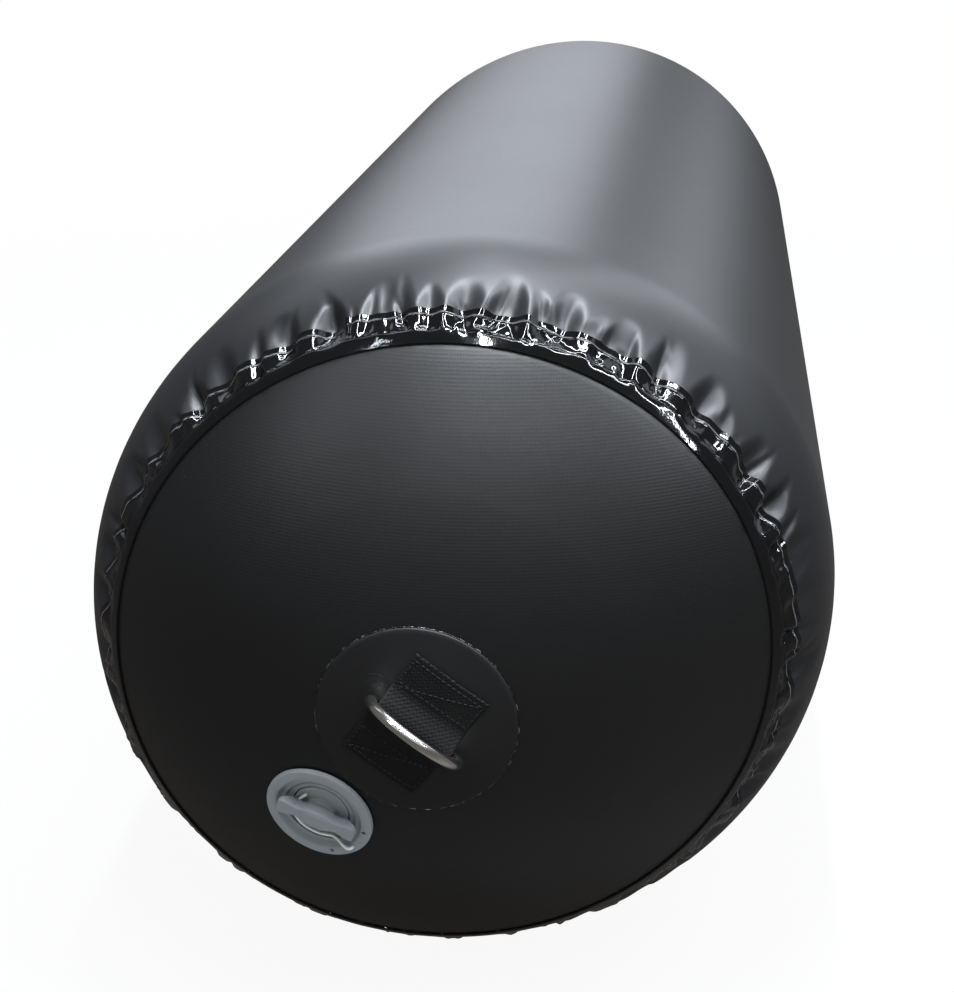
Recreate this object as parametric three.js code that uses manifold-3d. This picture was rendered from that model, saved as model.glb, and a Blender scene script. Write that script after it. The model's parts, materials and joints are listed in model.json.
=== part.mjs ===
// A large inflatable boat fender. A round PVC tube is closed by two domed end discs and gathered onto
// them at the end seams, which are taped over. Each end carries a webbing loop with a D-ring on a round
// patch, and the front one an air valve. Millimetres and degrees. The fender lies on its side along Y,
// with the valve end facing -Y and the floor at z = 0.
import * as THREE from "three";
import { mergeVertices } from "three/addons/utils/BufferGeometryUtils.js";
import Module from "manifold-3d";

// Inflated skin
const tubeRadius = 230;
const seamSpacing = 1060;
const seamRadius = 190;
const domeHeight = 75;
const ovalLean = 6.2;
const restWidth = 70;
const skinThickness = 1.2;

// Gathers of the tube onto the end discs
const gatherCount = 40;
const gatherHalfWidth = 12;
const gatherDepthMost = 6;
const gatherDepthLeast = 2;
const gatherLengthMost = 62;
const gatherLengthLeast = 40;
const gatherRise = 9;

// Tapes, patches and webbing
const tapeWidth = 25;
const tapeThickness = 1;
const lapStripWidth = 32;
const lapStripThickness = 0.9;
const lapStripBearing = -68;
const patchRadius = 55.5;
const patchThickness = 1.2;
const webbingWidth = 48;
const webbingLength = 71;
const webbingThickness = 2;
const webbingBearing = 54;
const loopHalfLength = 16;

// D-rings
const ringWire = 6;
const ringInnerWidth = 51;
const ringDepth = 38;
const ringCorner = 6;
const ringLean = 23;

// Air valve
const valveDistance = 88.8;
const valveBearing = -130.2;
const flangeRadius = 32;
const flangeThickness = 3.2;
const flangeRingWidth = 6;
const dishDepth = 5;
const dishRadius = 20;
const boreRadius = 17.2;
const barrelRadius = 21.5;
const barrelLength = 24;
const gasketThickness = 0.8;
const nutRadius = 29;
const nutHeight = 6.5;
const tetherHoleRadius = 1.2;
const tetherHoleCircle = 27.8;
const tetherHoleBearings = [-14, -45, -77];

// Valve seat, poppet and spring
const spiderTop = 15.5;
const spiderThickness = 2;
const spiderArms = 3;
const seatRadius = 13.5;
const seatThickness = 2.5;
const hubRadius = 4;
const stemRadius = 1.5;
const poppetRadius = 15.5;
const poppetThickness = 1.6;
const sealThickness = 1;
const sealWidth = 2.5;
const retainerRadius = 5;
const retainerThickness = 2.4;
const springRadius = 3.4;
const springWire = 0.7;
const springTurns = 5;

// Wing cap and its tether
const capClearance = 0.7;
const plugDepth = 8;
const plugWall = 4;
const oRingWire = 2;
const pedestalRadius = 9;
const wingBearing = -15;
const wingLength = 47.5;
const wingEndWidth = 10.5;
const wingNeckWidth = 7.5;
const wingBossWidth = 10.5;
const wingRise = 5.6;
const wingSlot = 2.4;
const tetherDiameter = 1.8;

// Fits
const seatGap = 0.3;
const runningGap = 0.4;

// Mesh fineness
const gatherFacets = 120;
const smallFacets = 32;
const wireFacets = 8;
const ringSteps = 36;
const springFacets = 5;
const springStepsPerTurn = 10;
const tetherSteps = 30;

const wasm = await Module();
wasm.setup();

const radians = THREE.MathUtils.degToRad;
const vector = (x, y, z) => new THREE.Vector3(x, y, z);

// The dome is one arc up to the end seam, and the shoulder a tangent arc from there to the tube.
const domeRadius = (seamRadius ** 2 + domeHeight ** 2) / (2 * domeHeight);
const domeAngle = Math.asin(seamRadius / domeRadius);
const domeArc = domeRadius * domeAngle;
const shoulderTurn = Math.PI / 2 - domeAngle;
const shoulderRadius = (tubeRadius - seamRadius) / (1 - Math.cos(shoulderTurn));
const shoulderArc = shoulderRadius * shoulderTurn;
const shoulderDepth = shoulderRadius * Math.sin(shoulderTurn);
const lean = ovalLean / tubeRadius;
const restSag = tubeRadius - Math.sqrt(tubeRadius ** 2 - (restWidth / 2) ** 2);
const axisHeight = tubeRadius - restSag;

// One end of the fender: the way its outside faces along Y, and the row of its gathers.
const front = { out: -1, seamY: -seamSpacing / 2, salt: 1 };
const rear = { out: 1, seamY: seamSpacing / 2, salt: 2 };

// A repeatable number from 0 to 1 for the gathers' uneven spacing, depth and length.
function scatter(index, salt) {
  const wave = Math.sin(index * 12.9898 + salt * 78.233) * 43758.5453;
  return wave - Math.floor(wave);
}

function gathersOf(end) {
  const spacing = (2 * Math.PI) / gatherCount;
  return Array.from({ length: gatherCount }, (_, i) => ({
    angle: spacing * (i + 0.6 * (scatter(i, end.salt) - 0.5)),
    depth: THREE.MathUtils.lerp(gatherDepthLeast, gatherDepthMost, scatter(i, end.salt + 10)),
    length: THREE.MathUtils.lerp(gatherLengthLeast, gatherLengthMost, scatter(i, end.salt + 20)),
  }));
}
front.gathers = gathersOf(front);
rear.gathers = gathersOf(rear);

// How far the gathered skin dips at an arc length s past the seam.
function gatherDip(end, s, theta) {
  if (s <= 0 || s >= gatherLengthMost) return 0;
  const rise = THREE.MathUtils.smoothstep(s, 0, gatherRise);
  let dip = 0;
  for (const gather of end.gathers) {
    const turn = Math.atan2(Math.sin(theta - gather.angle), Math.cos(theta - gather.angle));
    const across = (turn * seamRadius) / gatherHalfWidth;
    if (Math.abs(across) >= 1 || s >= gather.length) continue;
    const fall = 1 - THREE.MathUtils.smoothstep(s, tapeWidth, gather.length);
    dip += gather.depth * rise * fall * (0.5 + 0.5 * Math.cos(Math.PI * across));
  }
  return dip;
}

// The skin's profile at an arc length s from the end seam, negative on the dome.
function profile(s) {
  if (s <= 0) {
    const a = domeAngle + s / domeRadius;
    return {
      r: domeRadius * Math.sin(a),
      inward: -domeHeight + domeRadius * (1 - Math.cos(a)),
      normal: [Math.sin(a), -Math.cos(a)],
    };
  }
  if (s >= shoulderArc)
    return { r: tubeRadius, inward: shoulderDepth + s - shoulderArc, normal: [1, 0] };
  const t = shoulderTurn - s / shoulderRadius;
  return {
    r: tubeRadius - shoulderRadius * (1 - Math.cos(t)),
    inward: shoulderDepth - shoulderRadius * Math.sin(t),
    normal: [Math.cos(t), -Math.sin(t)],
  };
}

// A point of the skin, lifted off it, on the slightly oval section that lies flat on the floor.
function skinPoint(end, s, theta, lift = 0) {
  const { r, inward, normal } = profile(s);
  const off = lift - gatherDip(end, s, theta);
  const x = (r + normal[0] * off) * Math.cos(theta);
  const z = (r + normal[0] * off) * Math.sin(theta);
  const y = end.seamY - end.out * (inward + normal[1] * off);
  return vector(x + lean * z, y, Math.max(0, axisHeight + z + lean * x));
}

// The dome's y at a place given from the fender's axis, lifted off it along Y.
function domeY(end, x, z, lift = 0) {
  const a = (x - lean * z) / (1 - lean ** 2);
  const b = (z - lean * x) / (1 - lean ** 2);
  const height = Math.sqrt(domeRadius ** 2 - a * a - b * b) - (domeRadius - domeHeight);
  return end.seamY + end.out * (height + lift);
}

function ring(end, s, count, lift = 0) {
  return Array.from({ length: count }, (_, j) => skinPoint(end, s, (2 * Math.PI * j) / count, lift));
}

// Triangles between two neighbouring rings, where one may have twice the other's points. A quad is split
// along its shorter diagonal, so that a layer folds as the skin under it does.
function stitch(a, b, push) {
  const fine = Math.max(a.length, b.length);
  const stepA = a.length / fine;
  const stepB = b.length / fine;
  for (let j = 0; j < fine; j += 1) {
    const [a0, a1] = [a[Math.floor(j * stepA)], a[Math.floor((j + 1) * stepA) % a.length]];
    const [b0, b1] = [b[Math.floor(j * stepB)], b[Math.floor((j + 1) * stepB) % b.length]];
    if (a0 !== a1 && b0 !== b1 && a0.distanceTo(b1) < a1.distanceTo(b0)) {
      push(a0, b0, b1);
      push(a0, b1, a1);
      continue;
    }
    if (a0 !== a1) push(a0, b0, a1);
    if (b0 !== b1) push(a1, b0, b1);
  }
}

// A mesh geometry from triangles of points, turned so that its faces point out.
function geometryOf(triangles) {
  const volume = triangles.reduce((sum, [p, q, r]) => sum + p.dot(q.clone().cross(r)), 0);
  const coordinates = triangles.flatMap(([p, q, r]) =>
    (volume < 0 ? [p, r, q] : [p, q, r]).flatMap((point) => point.toArray()),
  );
  const geometry = new THREE.BufferGeometry();
  geometry.setAttribute("position", new THREE.Float32BufferAttribute(coordinates, 3));
  return mergeVertices(geometry, 1e-4);
}

// A closed solid from rings in order, with a pole at each end.
function ringSolid(poles, rings) {
  const triangles = [];
  const push = (...corners) => triangles.push(corners);
  const fan = (pole, points) =>
    points.forEach((point, j) => push(pole, point, points[(j + 1) % points.length]));
  fan(poles[0], rings[0]);
  rings.slice(1).forEach((points, i) => stitch(rings[i], points, push));
  fan(poles[1], [...rings.at(-1)].reverse());
  return geometryOf(triangles);
}

// A closed ring-shaped solid from rings that come back to the first one.
function loopSolid(rings) {
  const triangles = [];
  rings.forEach((points, i) =>
    stitch(points, rings[(i + 1) % rings.length], (...corners) => triangles.push(corners)),
  );
  return geometryOf(triangles);
}

// A closed solid between two grids of points of the same size.
function slabSolid(top, bottom) {
  const triangles = [];
  const quad = (p, q, r, s) => triangles.push([p, q, r], [p, r, s]);
  const [rows, columns] = [top.length - 1, top[0].length - 1];
  for (let i = 0; i < rows; i += 1) {
    for (let j = 0; j < columns; j += 1) {
      quad(top[i][j], top[i + 1][j], top[i + 1][j + 1], top[i][j + 1]);
      quad(bottom[i][j], bottom[i][j + 1], bottom[i + 1][j + 1], bottom[i + 1][j]);
    }
    quad(top[i][0], bottom[i][0], bottom[i + 1][0], top[i + 1][0]);
    quad(top[i][columns], top[i + 1][columns], bottom[i + 1][columns], bottom[i][columns]);
  }
  for (let j = 0; j < columns; j += 1) {
    quad(top[0][j], top[0][j + 1], bottom[0][j + 1], bottom[0][j]);
    quad(top[rows][j], bottom[rows][j], bottom[rows][j + 1], top[rows][j + 1]);
  }
  return geometryOf(triangles);
}

function solidOf(geometry) {
  const bare = geometry.clone();
  bare.deleteAttribute("normal");
  bare.deleteAttribute("uv");
  const merged = mergeVertices(bare, 1e-4);
  return new wasm.Manifold(
    new wasm.Mesh({
      numProp: 3,
      vertProperties: merged.attributes.position.array,
      triVerts: new Uint32Array(merged.index.array),
    }),
  );
}

function geometryFrom(solid) {
  const mesh = solid.getMesh();
  return new THREE.BufferGeometry()
    .setAttribute("position", new THREE.BufferAttribute(mesh.vertProperties, 3))
    .setIndex(new THREE.BufferAttribute(mesh.triVerts, 1));
}

const finishes = {
  pvc: { color: 0x1c1d1f, roughness: 0.5, metalness: 0 },
  tape: { color: 0x08090a, roughness: 0.1, metalness: 0 },
  patch: { color: 0x18191a, roughness: 0.45, metalness: 0 },
  webbing: { color: 0x101113, roughness: 0.9, metalness: 0 },
  stainless: { color: 0xc9c8c4, roughness: 0.15, metalness: 1 },
  greyPlastic: { color: 0x7c8284, roughness: 0.45, metalness: 0 },
  rubber: { color: 0x222325, roughness: 0.8, metalness: 0 },
  cord: { color: 0xe6e6e2, roughness: 0.6, metalness: 0 },
};

const fender = new THREE.Group();

function add(parent, name, geometry, finish) {
  const mesh = new THREE.Mesh(geometry, new THREE.MeshStandardMaterial(finishes[finish]));
  mesh.name = name;
  parent.add(mesh);
}

// Valve frame: +Z points out of the dome at the valve, and X runs to the right on it. Its zero is the
// flat seat that the flange and its gasket press into the dome.
const valveX = valveDistance * Math.cos(radians(valveBearing));
const valveZ = valveDistance * Math.sin(radians(valveBearing));
const seatSink = flangeRadius ** 2 / (2 * domeRadius) + seatGap;
const slopeStep = 0.01;
const slopeX = (domeY(front, valveX + slopeStep, valveZ) - domeY(front, valveX - slopeStep, valveZ)) / 2;
const slopeZ = (domeY(front, valveX, valveZ + slopeStep) - domeY(front, valveX, valveZ - slopeStep)) / 2;
const valveOut = vector(slopeX / slopeStep, -1, slopeZ / slopeStep).normalize();
const valveRight = vector(1, 0, 0).addScaledVector(valveOut, -valveOut.x).normalize();
const valveUp = valveOut.clone().cross(valveRight);
const valve = new THREE.Group();
valve.applyMatrix4(
  new THREE.Matrix4()
    .makeBasis(valveRight, valveUp, valveOut)
    .setPosition(
      vector(valveX, domeY(front, valveX, valveZ), axisHeight + valveZ).addScaledVector(valveOut, -seatSink),
    ),
);
valve.updateMatrix();
fender.add(valve);

// A turned solid about Z from [radius, height] points, closed on the axis or on itself.
function turned(points, facets = smallFacets) {
  const outline = points.map(([r, z]) => new THREE.Vector2(r, z));
  const onAxis = points[0][0] === 0 && points.at(-1)[0] === 0;
  if (!onAxis) outline.push(outline[0].clone());
  const geometry = new THREE.LatheGeometry(outline, facets).rotateX(Math.PI / 2);
  geometry.deleteAttribute("normal");
  geometry.deleteAttribute("uv");
  const merged = mergeVertices(geometry, 1e-4).toNonIndexed();
  const corners = merged.attributes.position;
  const triangles = [];
  for (let i = 0; i < corners.count; i += 3) {
    const [p, q, r] = [0, 1, 2].map((k) => vector().fromBufferAttribute(corners, i + k));
    const area = q.clone().sub(p).cross(r.clone().sub(p)).length();
    if (area > 1e-9) triangles.push([p, q, r]);
  }
  return geometryOf(triangles);
}

// A square-edged turned ring between two radii and two heights.
function turnedRing(inner, outer, low, high, facets = smallFacets) {
  return turned([[inner, low], [outer, low], [outer, high], [inner, high]], facets);
}

function turnedDisc(radius, low, high, facets = smallFacets) {
  return turned([[0, low], [radius, low], [radius, high], [0, high]], facets);
}

// Heights in the valve frame, from the seat outwards
const gasketTop = seatGap + gasketThickness;
const flangeUnder = gasketTop + seatGap;
const flangeTop = flangeUnder + flangeThickness;
const ledge = flangeTop - dishDepth;
const dishEdge = flangeRadius - flangeRingWidth;
const nutTop = -skinThickness - seatGap;
const barrelBore = barrelRadius + runningGap;
const pocketRadius = nutRadius + 1.5;
const spiderUnder = -spiderTop - spiderThickness;
const seatUnder = spiderUnder - seatThickness;
const sealTop = seatUnder - seatGap;
const poppetTop = sealTop - sealThickness - seatGap;
const pocketDepth = poppetThickness - poppetTop + 9;

// Rows of points along the skin: under the tape, on the dents past it and on the smooth shoulder. The
// plain tube starts past both the shoulder and the dents.
const plainStart = Math.max(shoulderArc, gatherLengthMost + tapeWidth);
const tapeRows = [0, 0.33, 0.66, 1].map((part) => part * tapeWidth);
const dentRows = [0.35, 0.75].map((part) => THREE.MathUtils.lerp(tapeWidth, gatherLengthMost, part));
const shoulderRows = [0.5, 1].map((part) => THREE.MathUtils.lerp(gatherLengthMost, plainStart, part));

function bodyGeometry() {
  const half = gatherFacets / 2;
  const quarter = gatherFacets / 4;
  const rows = [
    [-domeArc * 0.84, quarter],
    [-domeArc * 0.67, quarter],
    [-domeArc * 0.5, half],
    [-domeArc * 0.33, half],
    [-domeArc * 0.16, half],
    [-domeArc * 0.06, gatherFacets],
    ...tapeRows.map((s) => [s, gatherFacets]),
    ...dentRows.map((s) => [s, gatherFacets]),
    ...shoulderRows.map((s) => [s, half]),
  ];
  const poles = [front, rear].map((end) => skinPoint(end, -domeArc, 0));
  const rings = [
    ...rows.map(([s, count]) => ring(front, s, count)),
    ...[...rows].reverse().map(([s, count]) => ring(rear, s, count)),
  ];
  const bag = solidOf(ringSolid(poles, rings));
  const cuts = [
    turnedDisc(flangeRadius + runningGap, 0, flangeTop + seatSink),
    turnedDisc(barrelBore, -2 * skinThickness, skinThickness),
    turnedDisc(pocketRadius, -pocketDepth, -skinThickness),
  ];
  return geometryFrom(
    cuts.reduce((solid, cut) => solid.subtract(solidOf(cut.applyMatrix4(valve.matrix))), bag),
  );
}

// Tape over an end seam, from the disc's edge onto the gathered tube
function tapeGeometry(end) {
  const outer = tapeRows.map((s) => ring(end, s, gatherFacets, seatGap + tapeThickness));
  const inner = tapeRows.map((s) => ring(end, s, gatherFacets, seatGap));
  return loopSolid([...outer, ...inner.reverse()]);
}

// Strip over the tube's own lap seam, between the two tapes and low on the side
function lapStripGeometry() {
  const half = lapStripWidth / 2 / tubeRadius;
  const columns = [-1, -0.5, 0, 0.5, 1].map((part) => radians(lapStripBearing) + part * half);
  const stops = [gatherLengthMost, ...shoulderRows];
  const rows = [...stops.map((s) => [front, s]), ...stops.reverse().map((s) => [rear, s])];
  const grid = (lift) => rows.map(([end, s]) => columns.map((theta) => skinPoint(end, s, theta, lift)));
  return slabSolid(grid(seatGap + lapStripThickness), grid(seatGap));
}

function patchGeometry(end) {
  const place = (r, j, lift) => {
    const theta = (2 * Math.PI * j) / smallFacets;
    const [x, z] = [r * Math.cos(theta), r * Math.sin(theta)];
    return vector(x, domeY(end, x, z, lift), axisHeight + z);
  };
  const radii = [1, 2, 3].map((part) => (part * patchRadius) / 3);
  const level = (lift) =>
    radii.map((r) => Array.from({ length: smallFacets }, (_, j) => place(r, j, lift)));
  const [under, over] = [level(seatGap), level(seatGap + patchThickness)];
  const poles = [place(0, 0, seatGap + patchThickness), place(0, 0, seatGap)];
  return ringSolid(poles, [...over, ...under.reverse()]);
}

// Webbing frame: u runs along the strap, v along the D-ring's straight bar.
const strapU = [Math.cos(radians(webbingBearing)), Math.sin(radians(webbingBearing))];
const strapV = [strapU[1], -strapU[0]];
const patchTop = seatGap + patchThickness;
const barHeight = patchTop + seatGap + ringWire / 2;
const loopHeight = seatGap + ringWire + runningGap;

// The strap lies on the patch and rises in one loop over the ring's straight bar.
function webbingGeometry(end) {
  const us = Array.from({ length: 21 }, (_, i) => ((i / 20) * 2 - 1) * (webbingLength / 2));
  const vs = [-0.5, -0.25, 0, 0.25, 0.5].map((part) => part * webbingWidth);
  const place = (u, v, lift) => {
    const x = u * strapU[0] + v * strapV[0];
    const z = u * strapU[1] + v * strapV[1];
    const arch = Math.abs(u) < loopHalfLength ? 0.5 + 0.5 * Math.cos((Math.PI * u) / loopHalfLength) : 0;
    const crown = v ** 2 / (2 * domeRadius);
    return vector(x, domeY(end, x, z, lift + arch * (loopHeight + crown)), axisHeight + z);
  };
  const grid = (lift) => us.map((u) => vs.map((v) => place(u, v, lift)));
  return slabSolid(grid(patchTop + seatGap + webbingThickness), grid(patchTop + seatGap));
}

// The D-ring's wire as one closed curve: a straight bar, two tight corners and a round bow.
class RingCurve extends THREE.Curve {
  constructor(along, deep) {
    super();
    const half = (ringInnerWidth + ringWire) / 2;
    const bowRise = ringDepth - ringCorner;
    const corners = 6;
    const bow = 20;
    const arc = (count, from, to, cx, cy, rx, ry) =>
      Array.from({ length: count }, (_, i) => {
        const a = radians(from + ((to - from) * i) / count);
        return [cx + rx * Math.cos(a), cy + ry * Math.sin(a)];
      });
    const outline = [
      ...[-0.6, -0.2, 0.2, 0.6].map((part) => [part * (half - ringCorner), 0]),
      ...arc(corners, -90, 0, half - ringCorner, ringCorner, ringCorner, ringCorner),
      ...arc(bow, 0, 180, 0, ringCorner, half, bowRise),
      ...arc(corners, 180, 270, ringCorner - half, ringCorner, ringCorner, ringCorner),
      [ringCorner - half, 0],
    ];
    const points = outline.map(([a, b]) => along.clone().multiplyScalar(a).addScaledVector(deep, b));
    this.inner = new THREE.CatmullRomCurve3(points, true, "centripetal");
  }
  getPoint(t, target) {
    return this.inner.getPoint(t, target);
  }
}

function ringGeometry(end) {
  const along = vector(strapV[0], 0, strapV[1]);
  const strap = vector(strapU[0], 0, strapU[1]);
  const deep = vector(0, end.out * Math.cos(radians(ringLean)), 0);
  deep.addScaledVector(strap, Math.sin(radians(ringLean)));
  const tube = new THREE.TubeGeometry(new RingCurve(along, deep), ringSteps, ringWire / 2, wireFacets, true);
  return tube.translate(0, domeY(end, 0, 0, barHeight), axisHeight);
}

// Flange, dish and barrel, with the spider that guides the poppet and the seat under it
function valveBodyGeometry() {
  const turnedPart = turned([
    [boreRadius, ledge],
    [dishRadius, ledge],
    [dishEdge, flangeTop],
    [flangeRadius - 1, flangeTop],
    [flangeRadius, flangeTop - 1],
    [flangeRadius, flangeUnder],
    [barrelRadius, flangeUnder],
    [barrelRadius, -barrelLength],
    [boreRadius, -barrelLength],
    [boreRadius, seatUnder],
    [seatRadius, seatUnder],
    [seatRadius, spiderUnder],
    [boreRadius, -spiderTop],
  ]);
  const hub = turnedRing(stemRadius + runningGap, hubRadius, spiderUnder, -spiderTop, 20);
  let solid = solidOf(turnedPart).add(solidOf(hub));
  const armStart = hubRadius - 1;
  const armLength = boreRadius + 1 - armStart;
  for (let i = 0; i < spiderArms; i += 1) {
    const arm = new THREE.BoxGeometry(armLength, 2, spiderThickness)
      .translate(armStart + armLength / 2, 0, -spiderTop - spiderThickness / 2)
      .rotateZ((2 * Math.PI * i) / spiderArms);
    solid = solid.add(solidOf(arm));
  }
  for (const bearing of tetherHoleBearings) {
    const hole = turnedDisc(tetherHoleRadius, flangeUnder - 1, flangeTop + 1, 12).translate(
      tetherHoleCircle * Math.cos(radians(bearing)),
      tetherHoleCircle * Math.sin(radians(bearing)),
      0,
    );
    solid = solid.subtract(solidOf(hole));
  }
  return geometryFrom(solid);
}

// Clamp nut under the skin, with six finger notches round its edge
function nutGeometry() {
  const notches = 6;
  let solid = solidOf(turnedRing(barrelBore, nutRadius, nutTop - nutHeight, nutTop, 36));
  for (let i = 0; i < notches; i += 1) {
    const notch = turnedDisc(3, nutTop - nutHeight - 1, nutTop + 1, 12)
      .translate(nutRadius + 1, 0, 0)
      .rotateZ((2 * Math.PI * i) / notches);
    solid = solid.subtract(solidOf(notch));
  }
  return geometryFrom(solid);
}

// Wing cap: a hollow plug with a groove for its O-ring, a pedestal and a wing bar across it
const plugRadius = boreRadius - capClearance;
const discTop = ledge + seatGap;
const wingUnder = discTop + wingSlot;
const wingTop = flangeTop + wingRise;
const grooveTop = discTop - 1.6;
const grooveUnder = grooveTop - oRingWire - 2 * seatGap;
const plugUnder = discTop - plugDepth;
const plugCeiling = discTop - 2.2;
const retainerTop = plugCeiling - 2 * seatGap;
const retainerUnder = retainerTop - retainerThickness;

function capGeometry() {
  const plug = turned([
    [0, plugCeiling],
    [plugRadius - plugWall, plugCeiling],
    [plugRadius - plugWall, plugUnder],
    [plugRadius, plugUnder],
    [plugRadius, grooveUnder],
    [plugRadius - oRingWire, grooveUnder],
    [plugRadius - oRingWire, grooveTop],
    [plugRadius, grooveTop],
    [plugRadius, discTop],
    [pedestalRadius, discTop],
    [pedestalRadius, wingUnder + 1],
    [0, wingUnder + 1],
  ]);
  return geometryFrom(solidOf(plug).add(solidOf(wingGeometry())));
}

// The wing bar is lofted from sections that swell at its middle boss and its ends.
function wingGeometry() {
  const half = wingLength / 2;
  const stations = [-1, -0.96, -0.86, -0.7, -0.5, -0.36, -0.2, 0, 0.2, 0.36, 0.5, 0.7, 0.86, 0.96, 1];
  const corner = 2;
  const section = (part) => {
    const far = Math.abs(part);
    const tip = Math.sqrt(Math.max(0, 1 - ((far - 0.8) / 0.24) ** 2));
    const roundTip = far > 0.8 ? tip : 1;
    const toBoss = 1 - THREE.MathUtils.smoothstep(far, 0.2, 0.5);
    const toEnd = THREE.MathUtils.smoothstep(far, 0.5, 0.86);
    const swell = (wingBossWidth - wingNeckWidth) * toBoss + (wingEndWidth - wingNeckWidth) * toEnd;
    const width = ((wingNeckWidth + swell) / 2) * (0.45 + 0.55 * roundTip);
    const rise = THREE.MathUtils.smoothstep(far * half, boreRadius - 2, half);
    const under = wingUnder + rise * (flangeTop + 1.4 - wingUnder);
    const over = wingTop - 1.2 * (1 - toBoss - toEnd) - 1.5 * (1 - roundTip);
    const turns = [0, 1, 2, 3, 4, 5, 6, 7];
    return turns.map((k) => {
      const side = k < 4 ? 1 : -1;
      const level = [under, under + corner / 2, over - corner, over][k < 4 ? k : 7 - k];
      const inset = [corner / 2, 0, 0, corner][k < 4 ? k : 7 - k];
      return vector(part * half, side * (width - inset), level);
    });
  };
  const sections = stations.map(section);
  const middle = (points) =>
    points.reduce((sum, point) => sum.add(point), vector()).multiplyScalar(1 / points.length);
  const ends = [middle(sections[0]), middle(sections.at(-1))];
  return ringSolid(ends, sections).rotateZ(radians(wingBearing));
}

function poppetGeometry() {
  const under = poppetTop - poppetThickness;
  return turned([
    [0, under],
    [poppetRadius, under],
    [poppetRadius, poppetTop],
    [stemRadius, poppetTop],
    [stemRadius, retainerTop - 1.3],
    [0, retainerTop - 1.3],
  ], 32);
}

function retainerGeometry() {
  return turned([
    [0, retainerTop - 1],
    [stemRadius + seatGap, retainerTop - 1],
    [stemRadius + seatGap, retainerUnder],
    [retainerRadius, retainerUnder],
    [retainerRadius, retainerTop],
    [0, retainerTop],
  ], 20);
}

// A round wire or cord along a curve, closed at both ends
function wireAlong(curve, diameter, sides, steps) {
  const section = new THREE.Shape(
    Array.from({ length: sides }, (_, i) => {
      const a = (2 * Math.PI * i) / sides;
      return new THREE.Vector2((diameter / 2) * Math.cos(a), (diameter / 2) * Math.sin(a));
    }),
  );
  return new THREE.ExtrudeGeometry(section, { steps, bevelEnabled: false, extrudePath: curve });
}

function springGeometry() {
  const low = -spiderTop + seatGap + springWire / 2;
  const high = retainerUnder - seatGap - springWire / 2;
  const steps = springTurns * springStepsPerTurn;
  const points = Array.from({ length: steps + 1 }, (_, i) => {
    const a = (2 * Math.PI * i) / springStepsPerTurn;
    const z = THREE.MathUtils.lerp(low, high, i / steps);
    return vector(springRadius * Math.cos(a), springRadius * Math.sin(a), z);
  });
  return wireAlong(new THREE.CatmullRomCurve3(points), springWire, springFacets, steps);
}

// The tether leaves the middle flange hole, lies round the dish and ends cut off under the wing bar.
// Its route is in the valve frame.
const tetherRoute = [
  [19.66, -19.66, 1.75],
  [19.66, -19.66, 3.4],
  [19.55, -19.68, 5.0],
  [18.9, -19.8, 6.3],
  [17.4, -19.95, 6.8],
  [15.4, -19.95, 6.1],
  [13.0, -19.7, 4.7],
  [10.6, -19.2, 3.1],
  [8.2, -18.8, 1.8],
  [5.4, -18.6, 1.05],
  [2.2, -19.0, 0.9],
  [-1.2, -19.2, 0.9],
  [-4.6, -18.6, 0.9],
  [-8.0, -17.4, 0.9],
  [-11.2, -15.4, 0.9],
  [-13.8, -12.8, 0.9],
  [-15.4, -9.8, 1.0],
  [-16.1, -6.6, 1.15],
  [-16.0, -3.4, 1.2],
  [-15.2, -0.2, 1.2],
  [-13.8, 2.8, 1.2],
  [-12.0, 5.6, 1.2],
  [-9.9, 8.2, 1.2],
  [-7.6, 10.6, 1.2],
];

function tetherGeometry() {
  const curve = new THREE.CatmullRomCurve3(tetherRoute.map((point) => vector(...point)));
  return wireAlong(curve, tetherDiameter, wireFacets, tetherSteps);
}

add(fender, "fender_body", bodyGeometry(), "pvc");
add(fender, "tube_lap_strip", lapStripGeometry(), "pvc");
for (const [side, end] of [["front", front], ["rear", rear]]) {
  add(fender, `seam_tape_${side}`, tapeGeometry(end), "tape");
  add(fender, `ring_patch_${side}`, patchGeometry(end), "patch");
  add(fender, `webbing_${side}`, webbingGeometry(end), "webbing");
  add(fender, `d_ring_${side}`, ringGeometry(end), "stainless");
}
add(valve, "valve_body", valveBodyGeometry(), "greyPlastic");
add(valve, "valve_gasket", turnedRing(barrelBore, flangeRadius - 1, seatGap, gasketTop), "rubber");
add(valve, "valve_nut", nutGeometry(), "greyPlastic");
add(valve, "valve_poppet", poppetGeometry(), "greyPlastic");
add(
  valve,
  "poppet_seal",
  turnedRing(seatRadius - sealWidth / 2, seatRadius + sealWidth / 2, sealTop - sealThickness, sealTop, 32),
  "rubber",
);
add(valve, "valve_spring", springGeometry(), "stainless");
add(valve, "spring_retainer", retainerGeometry(), "greyPlastic");
add(valve, "valve_cap", capGeometry(), "greyPlastic");
add(
  valve,
  "cap_o_ring",
  new THREE.TorusGeometry(plugRadius - oRingWire / 2 + seatGap / 2, oRingWire / 2, 6, 24).translate(
    0,
    0,
    (grooveTop + grooveUnder) / 2,
  ),
  "rubber",
);
add(valve, "cap_tether", tetherGeometry(), "cord");

export default fender;
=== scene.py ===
"""Dresses a large inflatable boat fender: its skin, taped seams, hang eyes, air valve and studio.

Lengths are in metres and angles in radians unless a name says otherwise. The fender lies on its side
along Y, with its valve end facing -Y and the floor at z = 0.
"""

import json
import logging
import math
from collections.abc import Callable, Sequence
from dataclasses import dataclass
from enum import Enum

import bpy
import numpy as np
from mathutils import Matrix, Vector

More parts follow.
